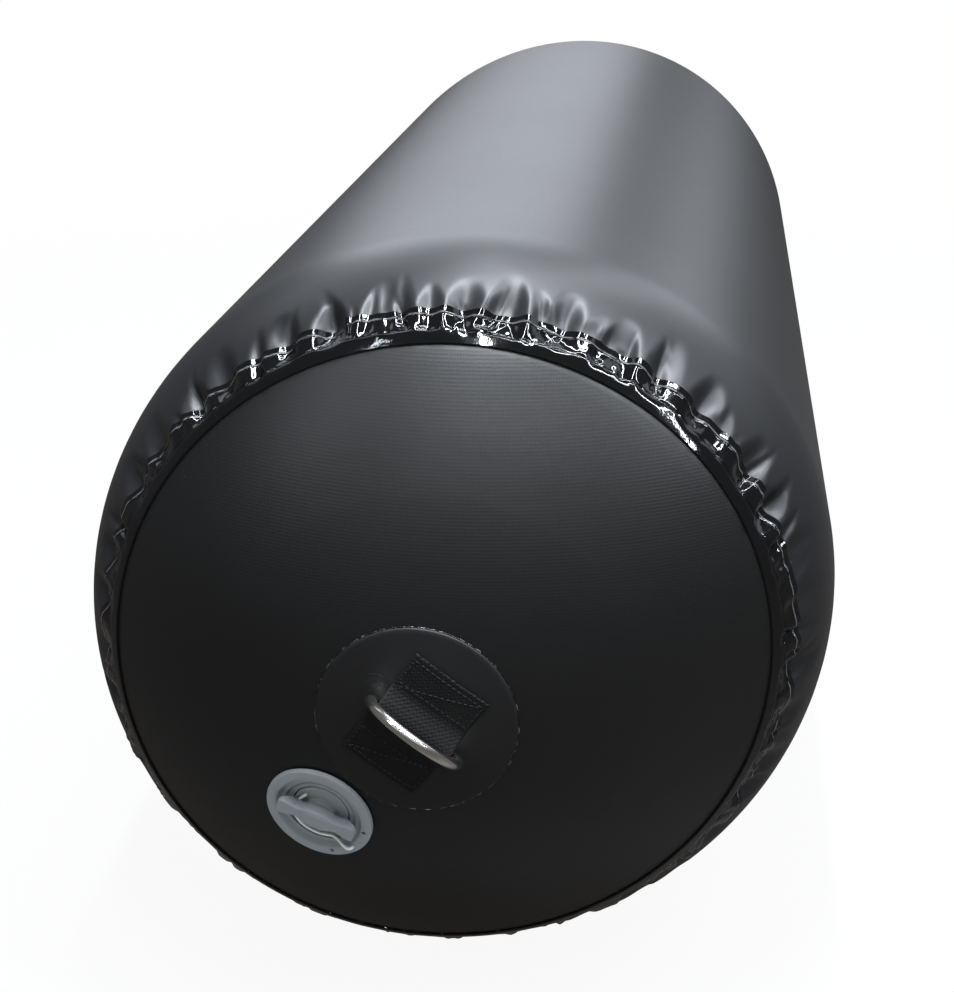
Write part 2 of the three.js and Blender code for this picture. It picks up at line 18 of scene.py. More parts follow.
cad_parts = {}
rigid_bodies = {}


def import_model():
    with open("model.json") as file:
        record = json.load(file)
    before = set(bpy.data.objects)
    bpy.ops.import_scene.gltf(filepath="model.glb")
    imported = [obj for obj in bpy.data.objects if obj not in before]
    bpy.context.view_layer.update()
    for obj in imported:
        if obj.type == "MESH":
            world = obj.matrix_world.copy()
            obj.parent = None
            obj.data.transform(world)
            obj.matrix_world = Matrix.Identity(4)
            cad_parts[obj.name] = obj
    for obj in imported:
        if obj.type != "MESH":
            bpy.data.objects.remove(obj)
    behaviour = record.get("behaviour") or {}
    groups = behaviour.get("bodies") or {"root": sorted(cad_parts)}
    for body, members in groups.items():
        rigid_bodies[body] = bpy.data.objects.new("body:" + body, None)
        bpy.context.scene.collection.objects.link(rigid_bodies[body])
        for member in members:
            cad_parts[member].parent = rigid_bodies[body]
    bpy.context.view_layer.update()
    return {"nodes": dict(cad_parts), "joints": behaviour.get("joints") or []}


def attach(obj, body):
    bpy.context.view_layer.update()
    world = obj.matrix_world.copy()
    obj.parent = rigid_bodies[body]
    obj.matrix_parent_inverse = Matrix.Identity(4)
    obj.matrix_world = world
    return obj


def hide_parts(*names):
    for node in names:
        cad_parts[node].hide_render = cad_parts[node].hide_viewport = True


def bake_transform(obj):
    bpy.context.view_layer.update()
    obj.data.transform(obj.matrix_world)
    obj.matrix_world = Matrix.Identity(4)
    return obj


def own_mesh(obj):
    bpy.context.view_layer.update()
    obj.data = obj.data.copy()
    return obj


LOG = logging.getLogger("fender")
MM = 0.001
FULL_TURN = 2 * math.pi
SECTORS = 16
TAPE_LINE = 20 * MM

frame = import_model()


def joint(name: str) -> dict:
    """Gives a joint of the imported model."""
    return next(row for row in frame["joints"] if row["name"] == name)


def smoothstep(value: np.ndarray, low: float | np.ndarray, high: float | np.ndarray) -> np.ndarray:
    """Eases from 0 at low to 1 at high."""
    share = np.clip((value - low) / (high - low), 0, 1)
    return share * share * (3 - 2 * share)


def bump(value: np.ndarray, centre: float | np.ndarray, half_width: float | np.ndarray) -> np.ndarray:
    """Gives one cosine hump, 1 at its centre and 0 past its half width."""
    across = np.clip((value - centre) / half_width, -1, 1)
    return 0.5 + 0.5 * np.cos(math.pi * across)


class End(Enum):
    """The fender's two ends: name, the way each faces along Y, and the row of its gathers."""

    FRONT = ("front", -1.0, 1)
    REAR = ("rear", 1.0, 2)

    def __init__(self, label: str, out: float, salt: int) -> None:
        """Keeps the end's name, direction and row."""
        self.label = label
        self.out = out
        self.salt = salt


class Bench:
    """The modelling bench: operators that start, shape and finish a mesh."""

    @staticmethod
    def clear() -> None:
        """Deselects everything, so that an operator acts on the new piece alone."""
        for thing in bpy.context.view_layer.objects:
            thing.select_set(False)

    @staticmethod
    def named(name: str) -> bpy.types.Object:
        """Names the piece that was just added.

        Args:
            name: The piece's name.

        Returns:
            The piece.
        """
        piece = bpy.context.view_layer.objects.active
        piece.name = name
        piece.data.name = name
        return piece

    @staticmethod
    def take(piece: bpy.types.Object) -> None:
        """Selects one piece alone and makes it the active one."""
        Bench.clear()
        piece.select_set(True)
        bpy.context.view_layer.objects.active = piece

    @staticmethod
    def points(piece: bpy.types.Object) -> np.ndarray:
        """Gives the coordinates of a piece's vertices, one row each."""
        flat = np.empty(3 * len(piece.data.vertices))
        piece.data.vertices.foreach_get("co", flat)
        return flat.reshape(-1, 3)

    @staticmethod
    def reshape(piece: bpy.types.Object, place: Callable[[np.ndarray], np.ndarray]) -> None:
        """Lays a flat blank on its form.

        Args:
            piece: The piece to reshape.
            place: Gives each vertex its new place.
        """
        moved = place(Bench.points(piece))
        piece.data.vertices.foreach_set("co", np.asarray(moved, dtype=np.float32).ravel())
        piece.data.update()

    @staticmethod
    def lathe(
        name: str, outline: Sequence[tuple[float, float]], steps: int, closed: bool
    ) -> bpy.types.Object:
        """Turns an outline about Z, one sector first and then the rest as its copies.

        Args:
            name: The piece's name.
            outline: Radius and height of each point, in order.
            steps: How many steps make the full turn.
            closed: Whether the last point joins the first.

        Returns:
            The turned piece.
        """
        Bench.clear()
        bpy.ops.mesh.primitive_circle_add(vertices=len(outline), fill_type="NOTHING")
        piece = Bench.named(name)
        flat = [value for radius, height in outline for value in (radius, 0, height)]
        piece.data.vertices.foreach_set("co", flat)
        bpy.ops.object.mode_set(mode="EDIT")
        if not closed:
            bpy.ops.mesh.select_all(action="DESELECT")
            bpy.ops.object.mode_set(mode="OBJECT")
            piece.data.vertices[0].select = True
            piece.data.vertices[len(outline) - 1].select = True
            bpy.ops.object.mode_set(mode="EDIT")
            bpy.ops.mesh.delete(type="EDGE_FACE")
        bpy.ops.mesh.select_all(action="SELECT")
        sectors = SECTORS if steps % SECTORS == 0 else 1
        turn = FULL_TURN / sectors
        bpy.ops.mesh.spin(steps=steps // sectors, angle=turn, center=(0, 0, 0), axis=(0, 0, 1))
        bpy.ops.object.mode_set(mode="OBJECT")
        piece = Bench.copies(piece, [Matrix.Rotation(turn * i, 4, "Z") for i in range(sectors)], name)
        Bench.tidy(piece)
        return piece

    @staticmethod
    def slab(name: str, columns: int, rows: int) -> bpy.types.Object:
        """Makes a flat slab blank, from -1 to 1 in X and Y, with its layers at heights 0 and 1.

        Args:
            name: The piece's name.
            columns: How many cells it has along X.
            rows: How many cells it has along Y.

        Returns:
            The blank.
        """
        Bench.clear()
        bpy.ops.mesh.primitive_grid_add(x_subdivisions=columns, y_subdivisions=rows, size=2)
        piece = Bench.named(name)
        bpy.ops.object.mode_set(mode="EDIT")
        bpy.ops.mesh.select_all(action="SELECT")
        bpy.ops.mesh.extrude_region_move(TRANSFORM_OT_translate={"value": (0, 0, 1)})
        bpy.ops.object.mode_set(mode="OBJECT")
        return piece

    @staticmethod
    def tidy(piece: bpy.types.Object, merge: float = 1e-6, crease: float = 40) -> None:
        """Closes seams and poles, turns the faces outwards and smooths the shading.

        Args:
            piece: The piece to tidy.
            merge: Vertices nearer than this become one.
            crease: Edges sharper than this many degrees stay sharp.
        """
        Bench.take(piece)
        bpy.ops.object.mode_set(mode="EDIT")
        bpy.ops.mesh.select_all(action="SELECT")
        bpy.ops.mesh.remove_doubles(threshold=merge)
        bpy.ops.mesh.normals_make_consistent(inside=False)
        bpy.ops.object.mode_set(mode="OBJECT")
        bpy.ops.object.shade_smooth_by_angle(angle=math.radians(crease))

    @staticmethod
    def modify(piece: bpy.types.Object, kind: str, **settings: object) -> None:
        """Adds a modifier and applies it.

        Args:
            piece: The piece to modify.
            kind: The modifier's type.
            **settings: The modifier's settings.
        """
        Bench.take(piece)
        modifier = piece.modifiers.new(kind.title(), kind)
        for key, value in settings.items():
            setattr(modifier, key, value)
        bpy.ops.object.modifier_apply(modifier=modifier.name)

    @staticmethod
    def combine(piece: bpy.types.Object, tool: bpy.types.Object, operation: str) -> None:
        """Cuts or joins a piece with a second one, which is used up."""
        Bench.modify(piece, "BOOLEAN", object=tool, operation=operation, solver="EXACT")
        bpy.data.objects.remove(tool)

    @staticmethod
    def join(pieces: Sequence[bpy.types.Object], name: str) -> bpy.types.Object:
        """Joins loose pieces into one object.

        Args:
            pieces: The pieces to join.
            name: The name of the whole.

        Returns:
            The joined piece.
        """
        Bench.take(pieces[0])
        for piece in pieces:
            piece.select_set(True)
        bpy.ops.object.join()
        return Bench.named(name)

    @staticmethod
    def copies(piece: bpy.types.Object, places: Sequence[Matrix], name: str) -> bpy.types.Object:
        """Sets copies of a small piece at their places and joins them.

        Args:
            piece: The piece to copy, which is used up.
            places: Where each copy goes.
            name: The name of the whole.

        Returns:
            The joined copies.
        """
        made = [Bench.twin(piece) for _ in places]
        for copy, place in zip(made, places):
            copy.data.transform(place)
        bpy.data.objects.remove(piece)
        return Bench.join(made, name)

    @staticmethod
    def twin(piece: bpy.types.Object) -> bpy.types.Object:
        """Gives a copy of a piece, with its own mesh."""
        copy = piece.copy()
        copy.data = piece.data.copy()
        bpy.context.scene.collection.objects.link(copy)
        return copy

    @staticmethod
    def tube(name: str, points: np.ndarray, radius: float, sides: int = 3) -> bpy.types.Object:
        """Makes a round wire along a line of points.

        Args:
            name: The piece's name.
            points: The line's points, one row each.
            radius: The wire's radius.
            sides: The bevel's resolution on each quarter of the section.

        Returns:
            The wire as a mesh.
        """
        curve = bpy.data.curves.new(name, "CURVE")
        curve.dimensions = "3D"
        curve.bevel_depth = radius
        curve.bevel_resolution = sides
        curve.use_fill_caps = True
        spline = curve.splines.new("POLY")
        spline.points.add(len(points) - 1)
        spline.points.foreach_set("co", np.c_[points, np.ones(len(points))].ravel())
        piece = bpy.data.objects.new(name, curve)
        bpy.context.scene.collection.objects.link(piece)
        Bench.take(piece)
        bpy.ops.object.convert(target="MESH")
        piece = Bench.named(name)
        Bench.tidy(piece, merge=radius * 0.02)
        return piece


class Wire:
    """A number on its way through a shader, so that maths on it reads as plain Python."""

    def __init__(self, bench: "ShaderBench", socket: bpy.types.NodeSocket) -> None:
        """Holds the shader and the socket that gives the number."""
        self.bench = bench
        self.socket = socket

    def maths(self, operation: str, *others: "Wire | float") -> "Wire":
        """Adds a Math node on this number."""
        inputs = dict(enumerate((self, *others)))
        return self.bench.number("ShaderNodeMath", {"operation": operation}, inputs)

    def __add__(self, other: "Wire | float") -> "Wire":
        """Adds."""
        return self.maths("ADD", other)

    __radd__ = __add__

    def __sub__(self, other: "Wire | float") -> "Wire":
        """Subtracts."""
        return self.maths("SUBTRACT", other)

    def __mul__(self, other: "Wire | float") -> "Wire":
        """Multiplies."""
        return self.maths("MULTIPLY", other)

    __rmul__ = __mul__

    def cosine(self) -> "Wire":
        """Gives the cosine."""
        return self.maths("COSINE")

    def size(self) -> "Wire":
        """Gives the value without its sign."""
        return self.maths("ABSOLUTE")

    def ease(self, low: float, high: float) -> "Wire":
        """Eases from 0 at low to 1 at high.

        Args:
            low: Where the step starts.
            high: Where the step ends, below low to fall instead.

        Returns:
            The eased value.
        """
        settings = {"interpolation_type": "SMOOTHSTEP"}
        span = {"From Min": min(low, high), "From Max": max(low, high)}
        goal = {"To Min": 0.0, "To Max": 1.0} if high > low else {"To Min": 1.0, "To Max": 0.0}
        return self.bench.number("ShaderNodeMapRange", settings, {"Value": self, **span, **goal})


class ShaderBench:
    """Builds one material from nodes."""

    def __init__(self, name: str) -> None:
        """Starts a material with a Principled shader.

        Args:
            name: The material's name.
        """
        self.material = bpy.data.materials.new(name)
        self.material.use_nodes = True
        self.tree = self.material.node_tree
        self.shader = self.tree.nodes["Principled BSDF"]

    def node(self, kind: str, settings: dict | None = None, inputs: dict | None = None) -> bpy.types.Node:
        """Adds any node.

        Args:
            kind: The node's type.
            settings: The node's own settings, which are set first.
            inputs: Values or links of its sockets, by name or number.

        Returns:
            The node.
        """
        node = self.tree.nodes.new(kind)
        for key, value in (settings or {}).items():
            setattr(node, key, value)
        for key, value in (inputs or {}).items():
            self.feed(node.inputs[key], value)
        return node

    def feed(self, socket: bpy.types.NodeSocket, value: object) -> None:
        """Sets a socket or links it.

        Args:
            socket: The socket to feed.
            value: A plain value, a Wire or a socket.
        """
        if isinstance(value, Wire):
            self.tree.links.new(value.socket, socket)
        elif isinstance(value, bpy.types.NodeSocket):
            self.tree.links.new(value, socket)
        else:
            socket.default_value = value

    def number(self, kind: str, settings: dict | None = None, inputs: dict | None = None) -> Wire:
        """Adds a node and gives its first output as a number."""
        return Wire(self, self.node(kind, settings, inputs).outputs[0])

    def place(self, scale: tuple[float, float, float] = (1, 1, 1)) -> bpy.types.NodeSocket:
        """Gives the piece's own coordinates."""
        own = self.node("ShaderNodeTexCoord").outputs["Object"]
        return self.node("ShaderNodeMapping", {}, {"Vector": own, "Scale": scale}).outputs[0]

    def axes(self) -> tuple[Wire, Wire, Wire]:
        """Gives the piece's own X, Y and Z in metres."""
        split = self.node("ShaderNodeSeparateXYZ", {}, {0: self.place()})
        return Wire(self, split.outputs[0]), Wire(self, split.outputs[1]), Wire(self, split.outputs[2])

    def attribute(self, name: str) -> Wire:
        """Gives a number that the mesh carries at each vertex."""
        return Wire(self, self.node("ShaderNodeAttribute", {"attribute_name": name}).outputs["Fac"])

    def noise(
        self, scale: float, detail: float = 2, stretch: tuple[float, float, float] = (1, 1, 1)
    ) -> Wire:
        """Gives soft noise, about 0.5 on average."""
        inputs = {"Vector": self.place(stretch), "Scale": scale, "Detail": detail}
        return self.number("ShaderNodeTexNoise", {"noise_dimensions": "3D"}, inputs)

    def specks(self, scale: float, size: float) -> Wire:
        """Gives small round specks, 1 inside and 0 outside."""
        inputs = {"Vector": self.place(), "Scale": scale}
        return self.number("ShaderNodeTexVoronoi", {"feature": "F1"}, inputs).ease(size, size * 0.5)

    def tint(self, mask: Wire, low: Sequence[float], high: Sequence[float]) -> bpy.types.NodeSocket:
        """Mixes two colours.

        Args:
            mask: 0 gives the first colour and 1 the second.
            low: The first colour, or its socket.
            high: The second colour.

        Returns:
            The colour socket.
        """
        node = self.node("ShaderNodeMix", {"data_type": "RGBA"})
        self.feed(node.inputs[0], mask)
        self.feed(node.inputs[6], low if isinstance(low, bpy.types.NodeSocket) else (*low, 1))
        self.feed(node.inputs[7], (*high, 1))
        return node.outputs[2]

    def raise_relief(self, height: Wire, distance: float, under: object = None) -> bpy.types.NodeSocket:
        """Turns a height into a bumped normal.

        Args:
            height: The relief, from 0 to 1.
            distance: How high 1 stands.
            under: The normal of a coarser relief, if there is one.

        Returns:
            The normal socket.
        """
        node = self.node("ShaderNodeBump", {}, {"Height": height, "Distance": distance, "Strength": 1.0})
        if under is not None:
            self.feed(node.inputs["Normal"], under)
        return node.outputs["Normal"]

    def finish(self, **values: object) -> bpy.types.Material:
        """Feeds the Principled shader.

        Args:
            **values: Its inputs by name, with _ for a space.

        Returns:
            The material.
        """
        for key, value in values.items():
            self.feed(self.shader.inputs[key.replace("_", " ").title().replace("Ior", "IOR")], value)
        return self.material


@dataclass(frozen=True)
class Finish:
    """A surface finish: its colour and how rough it is, with the look of one material."""

    name: str
    color: tuple[float, float, float]
    roughness: float

    def material(self) -> bpy.types.Material:
        """Gives the finish's material, which is made once."""
        return bpy.data.materials.get(self.name) or self.paint(ShaderBench(self.name))

    def paint(self, bench: ShaderBench) -> bpy.types.Material:
        """Builds the material.

        Args:
            bench: The shader that is built.

        Returns:
            The material.
        """
        uneven = bench.noise(60, 3)
        tone = bench.tint(uneven, self.shade(0.85), self.shade(1.15))
        fine = bench.raise_relief(bench.noise(1400, 3), 0.02 * MM)
        return bench.finish(
            base_color=tone, roughness=uneven * 0.1 + (self.roughness - 0.05), normal=fine
        )

    def shade(self, factor: float) -> tuple[float, float, float]:
        """Gives the colour darker or lighter by a factor."""
        return tuple(min(1.0, channel * factor) for channel in self.color)


@dataclass(frozen=True)
class SmoothSkin(Finish):
    """Satin PVC of the tube: smooth, with a faint orange peel and a few specks of dust."""

    def paint(self, bench: ShaderBench) -> bpy.types.Material:
        """Builds the satin skin."""
        clouds = bench.noise(5, 4)
        dust = bench.specks(45, 0.014)
        tone = bench.tint(clouds, self.shade(0.9), self.shade(1.1))
        dusty = bench.tint(dust * 0.6, tone, (0.25, 0.25, 0.25))
        peel = bench.raise_relief(bench.noise(900, 2), 0.012 * MM)
        rough = clouds * 0.06 + bench.noise(320, 3) * 0.05 + (self.roughness - 0.055)
        return bench.finish(base_color=dusty, roughness=rough, normal=peel)


@dataclass(frozen=True)
class WovenSkin(Finish):
    """Matte PVC of the end discs, with the cloth inside it showing as fine ribs."""

    rib_pitch: float = 1.73 * MM
    thread_pitch: float = 1.47 * MM
    rib_depth: float = 0.045 * MM

    def weave(self, bench: ShaderBench) -> Wire:
        """Gives the height of the ribs and threads, from 0 to 1."""
        across, _, up = bench.axes()
        sway = (bench.noise(9, 1) - 0.5) * 1.5
        ribs = (up * (FULL_TURN / self.rib_pitch) + sway).cosine()
        threads = (across * (FULL_TURN / self.thread_pitch) + sway).cosine()
        return ribs * 0.22 + threads * 0.15 + ribs * threads * 0.13 + 0.5

    def paint(self, bench: ShaderBench) -> bpy.types.Material:
        """Builds the woven skin."""
        clouds = bench.noise(6, 4)
        dust = bench.specks(30, 0.01)
        tone = bench.tint(clouds, self.shade(0.85), self.shade(1.15))
        dusty = bench.tint(dust * 0.5, tone, (0.25, 0.25, 0.25))
        woven = bench.raise_relief(self.weave(bench), self.rib_depth)
        rough = clouds * 0.08 + (self.roughness - 0.04)
        return bench.finish(base_color=dusty, roughness=rough, normal=woven)


@dataclass(frozen=True)
class GlossTape(WovenSkin):
    """Clear-coated black tape, with a raised line along it that carries a pale painted highlight, and a trace
    of the weave under it.
    """

    rib_depth: float = 0.006 * MM
    line_at: float = TAPE_LINE
    line_half_width: float = 0.55 * MM
    # Colour of the painted highlight along the raised line.
    line_highlight_color: tuple[float, float, float] = (0.09, 0.09, 0.092)

    def paint(self, bench: ShaderBench) -> bpy.types.Material:
        """Builds the glossy tape."""
        arc = bench.attribute("arc")
        line = (arc - self.line_at).size().ease(self.line_half_width, self.line_half_width * 0.4)
        # Painted highlight: the raised line is painted pale and rougher in broken stretches, in place of its
        # reflection of the lamps.
        broken_line_highlight = line * bench.noise(220, 2).ease(0.35, 0.5)
        dust = bench.specks(110, 0.03) * 0.5
        tone = bench.tint(broken_line_highlight, self.color, self.line_highlight_color)
        dusty = bench.tint(dust, tone, (0.2, 0.2, 0.2))
        waves = bench.raise_relief(bench.noise(170, 2), 0.09 * MM)
        woven = bench.raise_relief(self.weave(bench), self.rib_depth, waves)
        rough = broken_line_highlight * 0.3 + dust * 0.4 + self.roughness
        return bench.finish(base_color=dusty, roughness=rough, normal=woven)


@dataclass(frozen=True)
class PatchSkin(Finish):
    """Smooth PVC of the hang-eye patches, slightly wavy from its glue."""

    def paint(self, bench: ShaderBench) -> bpy.types.Material:
        """Builds the patch."""
        clouds = bench.noise(25, 3)
        tone = bench.tint(clouds, self.shade(0.85), self.shade(1.15))
        waves = bench.raise_relief(bench.noise(45, 2), 0.12 * MM)
        grain = bench.raise_relief(bench.noise(1500, 2), 0.012 * MM, waves)
        return bench.finish(base_color=tone, roughness=clouds * 0.12 + self.roughness, normal=grain)


@dataclass(frozen=True)
class Glue(Finish):
    """Squeezed-out glue: black and glossy, and whitish in patches, most of all low on the bead."""

    white: tuple[float, float, float] = (0.3, 0.29, 0.27)

    def paint(self, bench: ShaderBench) -> bpy.types.Material:
        """Builds the glue."""
        _, _, up = bench.axes()
        low = up.ease(0.19, 0.178)
        # Whitish, rougher patches, weighted towards the bottom of the bead.
        whitish_patches = bench.noise(260, 3).ease(0.5, 0.62) * (low * 0.8 + 0.2)
        tone = bench.tint(whitish_patches, self.color, self.white)
        rough = whitish_patches * 0.4 + self.roughness
        return bench.finish(base_color=tone, roughness=rough)


@dataclass(frozen=True)
class Webbing(Finish):
    """Woven polyester webbing, with fine fibres on its threads."""

    def paint(self, bench: ShaderBench) -> bpy.types.Material:
        """Builds the webbing."""
        fibres = bench.noise(2600, 2, (1, 1, 0.35))
        uneven = bench.noise(120, 3)
        tone = bench.tint(fibres * 0.7 + uneven * 0.3, self.shade(0.45), self.shade(1.7))
        relief = bench.raise_relief(fibres, 0.06 * MM)
        rough = uneven * 0.1 + self.roughness
        return bench.finish(base_color=tone, roughness=rough, specular_ior_level=0.3, normal=relief)


@dataclass(frozen=True)
class Steel(Finish):
    """Polished stainless steel with fine hairlines."""

    def paint(self, bench: ShaderBench) -> bpy.types.Material:
        """Builds the steel."""
        hairs = bench.noise(900, 2, (0.15, 1, 1))
        smears = bench.noise(70, 3)
        relief = bench.raise_relief(hairs, 0.006 * MM)
        rough = smears * 0.08 + (self.roughness - 0.04)
        tone = bench.tint(smears, self.shade(0.94), self.shade(1.04))
        return bench.finish(base_color=tone, metallic=1.0, roughness=rough, normal=relief)


@dataclass(frozen=True)
class Moulded(Finish):
    """Moulded grey plastic with a fine spark-eroded grain and faint scuffs."""

    def paint(self, bench: ShaderBench) -> bpy.types.Material:
        """Builds the plastic."""
        clouds = bench.noise(90, 3)
        scuffs = bench.noise(500, 2, (1, 1, 0.12)).ease(0.62, 0.74)
        tone = bench.tint(clouds, self.shade(0.93), self.shade(1.05))
        scuffed = bench.tint(scuffs * 0.25, tone, (0.36, 0.38, 0.39))
        grain = bench.raise_relief(bench.noise(2800, 2), 0.02 * MM)
        rough = clouds * 0.1 + scuffs * 0.08 + (self.roughness - 0.05)
        return bench.finish(base_color=scuffed, roughness=rough, normal=grain)


@dataclass(frozen=True)
class Braid(Finish):
    """Braided white cord."""

    def paint(self, bench: ShaderBench) -> bpy.types.Material:
        """Builds the cord."""
        fibres = bench.noise(2400, 2)
        tone = bench.tint(fibres, self.shade(0.8), self.shade(1.08))
        relief = bench.raise_relief(fibres, 0.08 * MM)
        return bench.finish(base_color=tone, roughness=self.roughness, normal=relief)


SKIN = SmoothSkin("tube_skin", (0.0105, 0.011, 0.0122), 0.42)
DISC = WovenSkin("disc_skin", (0.0055, 0.0057, 0.006), 0.42)
TAPE = GlossTape("gloss_tape", (0.0035, 0.0035, 0.004), 0.07)
STRIP = SmoothSkin("lap_strip_skin", (0.009, 0.0093, 0.0103), 0.36)
PATCH = PatchSkin("patch_skin", (0.0062, 0.0063, 0.0066), 0.47)
GLUE = Glue("squeezed_glue", (0.006, 0.006, 0.0065), 0.2)
WEBBING = Webbing("black_webbing", (0.0035, 0.0035, 0.0037), 0.62)
THREAD = Webbing("black_thread", (0.014, 0.0142, 0.0155), 0.55)
STEEL = Steel("polished_steel", (0.86, 0.84, 0.8), 0.2)
SPRING_STEEL = Steel("spring_steel", (0.62, 0.61, 0.59), 0.26)
GREY = Moulded("valve_plastic", (0.148, 0.142, 0.134), 0.42)
RUBBER = Finish("valve_rubber", (0.016, 0.016, 0.017), 0.7)
CORD = Braid("white_cord", (0.74, 0.74, 0.71), 0.6)


@dataclass(frozen=True)
class Pleats:
    """The ranges that one kind of pleat is drawn from: height, half width, and where it starts and stops."""

    heights: tuple[float, float]
    widths: tuple[float, float]
    starts: tuple[float, float]
    stops: tuple[float, float]


FINE_PLEATS = Pleats((-1.3, 0.8), (1.9, 5.5), (3, 12), (27, 42))
DENTS = Pleats((-3.4, -1.6), (4.5, 8.5), (5, 9), (40, 60))


@dataclass(frozen=True)
class Skin:
    """The inflated skin's form, with its gathers, small pleats and flat resting place."""

    tube_radius: float = 230 * MM
    seam_spacing: float = 1060 * MM
    seam_radius: float = 190 * MM
    dome_height: float = 75 * MM
    oval_lean: float = 6.2 * MM
    rest_width: float = 70 * MM
    gather_count: int = 40
    gather_half_width: float = 12 * MM
    gather_depths: tuple[float, float] = (2 * MM, 6 * MM)
    gather_lengths: tuple[float, float] = (40 * MM, 62 * MM)
    gather_rises: tuple[float, float] = (5 * MM, 19 * MM)
    tape_width: float = 25 * MM
    pleat_count: int = 170
    dent_bearings: tuple[float, ...] = (
        -53, -42, -27, -12, -1, 6, 14, 20, 26, 33.5, 42, 54, 60, 66, 70, 74, 79, 84.5, 92.5, 96.5, 103,
        106, 110, 117, 122, 135, 147, 159, 175, 191, 207, 225, 238.5, 253.5, 263.5, 277.5, 292,
    )
    fold_at: float = 9 * MM
    line_at: float = TAPE_LINE

    @property
    def dome_radius(self) -> float:
        """Radius of the end domes."""
        return (self.seam_radius**2 + self.dome_height**2) / (2 * self.dome_height)

    @property
    def dome_angle(self) -> float:
        """How far a dome turns from its middle to its seam."""
        return math.asin(self.seam_radius / self.dome_radius)

    @property
    def dome_arc(self) -> float:
        """Length of a dome's arc from its middle to its seam."""
        return self.dome_radius * self.dome_angle

    @property
    def shoulder_turn(self) -> float:
        """How far the shoulder turns from the seam to the tube."""
        return math.pi / 2 - self.dome_angle

    @property
    def shoulder_radius(self) -> float:
        """Radius of the shoulder's arc."""
        return (self.tube_radius - self.seam_radius) / (1 - math.cos(self.shoulder_turn))

    @property
    def shoulder_arc(self) -> float:
        """Length of the shoulder's arc."""
        return self.shoulder_radius * self.shoulder_turn

    @property
    def middle(self) -> float:
        """Arc length from a seam to the middle of the tube."""
        depth = self.shoulder_radius * math.sin(self.shoulder_turn)
        return self.shoulder_arc + self.seam_spacing / 2 - depth

    @property
    def lean(self) -> float:
        """Shear that makes the section slightly oval."""
        return self.oval_lean / self.tube_radius

    @property
    def axis_height(self) -> float:
        """Height of the fender's axis above the floor."""
        return math.sqrt(self.tube_radius**2 - (self.rest_width / 2) ** 2)

    @staticmethod
    def scatter(count: int, salt: int) -> np.ndarray:
        """Gives repeatable numbers from 0 to 1, one for each gather."""
        wave = np.sin(np.arange(count) * 12.9898 + salt * 78.233) * 43758.5453
        return wave - np.floor(wave)

    def gathers(self, end: End, s: np.ndarray, theta: np.ndarray) -> np.ndarray:
        """Gives how far the broad gathers dip.

        Args:
            end: The end that is read.
            s: Arc length past the seam.
            theta: Bearing round the axis.

        Returns:
            The depth at each point.
        """
        count = self.gather_count
        angles = FULL_TURN / count * (np.arange(count) + 0.6 * (self.scatter(count, end.salt) - 0.5))
        depths = np.interp(self.scatter(count, end.salt + 10), (0, 1), self.gather_depths)
        lengths = np.interp(self.scatter(count, end.salt + 20), (0, 1), self.gather_lengths)
        dip = np.zeros_like(s)
        rise = smoothstep(s, self.gather_rises[0], self.gather_rises[1])
        for angle, depth, length in zip(angles, depths, lengths):
            turn = np.arctan2(np.sin(theta - angle), np.cos(theta - angle))
            fall = 1 - smoothstep(s, self.tape_width, length)
            width = self.gather_half_width * (0.6 + 0.4 * fall)
            dip += depth * rise * fall * bump(turn * self.seam_radius, 0, width)
        return dip

    def pleats(self, end: End, s: np.ndarray, theta: np.ndarray) -> np.ndarray:
        """Gives the height of the small sharp pleats that the tape is pulled into.

        Args:
            end: The end that is read.
            s: Arc length past the seam.
            theta: Bearing round the axis.

        Returns:
            The height at each point, below zero in a pleat's valley.
        """
        draw = np.random.default_rng(10 + end.salt)
        small, large = self.pleat_count, len(self.dent_bearings)
        even = FULL_TURN / small * (np.arange(small) + 1.4 * (draw.random(small) - 0.5))
        angles = np.r_[even, end.out * -np.radians(self.dent_bearings)]
        heights, widths, starts, stops = (
            np.r_[draw.uniform(*fine, small), draw.uniform(*coarse, large)] * MM
            for fine, coarse in (
                (FINE_PLEATS.heights, DENTS.heights),
                (FINE_PLEATS.widths, DENTS.widths),
                (FINE_PLEATS.starts, DENTS.starts),
                (FINE_PLEATS.stops, DENTS.stops),
            )
        )
        slants = draw.uniform(-0.35, 0.35, small + large)
        height = np.zeros_like(s)
        for angle, tall, width, start, stop, slant in zip(angles, heights, widths, starts, stops, slants):
            turn = np.arctan2(np.sin(theta - angle), np.cos(theta - angle)) * self.seam_radius
            along = smoothstep(s, start, start + 6 * MM) * (1 - smoothstep(s, 24 * MM, stop))
            taper = 1 - 0.6 * smoothstep(s, self.tape_width, stop)
            height += tall * along * bump(turn, slant * (s - start), width * taper)
        return height

    def seam_lines(self, end: End, s: np.ndarray, theta: np.ndarray) -> np.ndarray:
        """Gives the relief of the disc's edge under the tape and of the thin line along the tape.

        Args:
            end: The end that is read.
            s: Arc length past the seam.
            theta: Bearing round the axis.

        Returns:
            The height at each point.
        """
        sway = 0.5 * MM * np.sin(7 * theta + end.salt) + 0.35 * MM * np.sin(17 * theta)
        step = 0.35 * MM * (1 - smoothstep(s, self.fold_at + sway - 0.8 * MM, self.fold_at + sway))
        crease = -0.35 * MM * bump(s, self.fold_at + sway, 1.2 * MM)
        line = 0.35 * MM * bump(s, self.line_at, 0.9 * MM)
        return step + crease + line

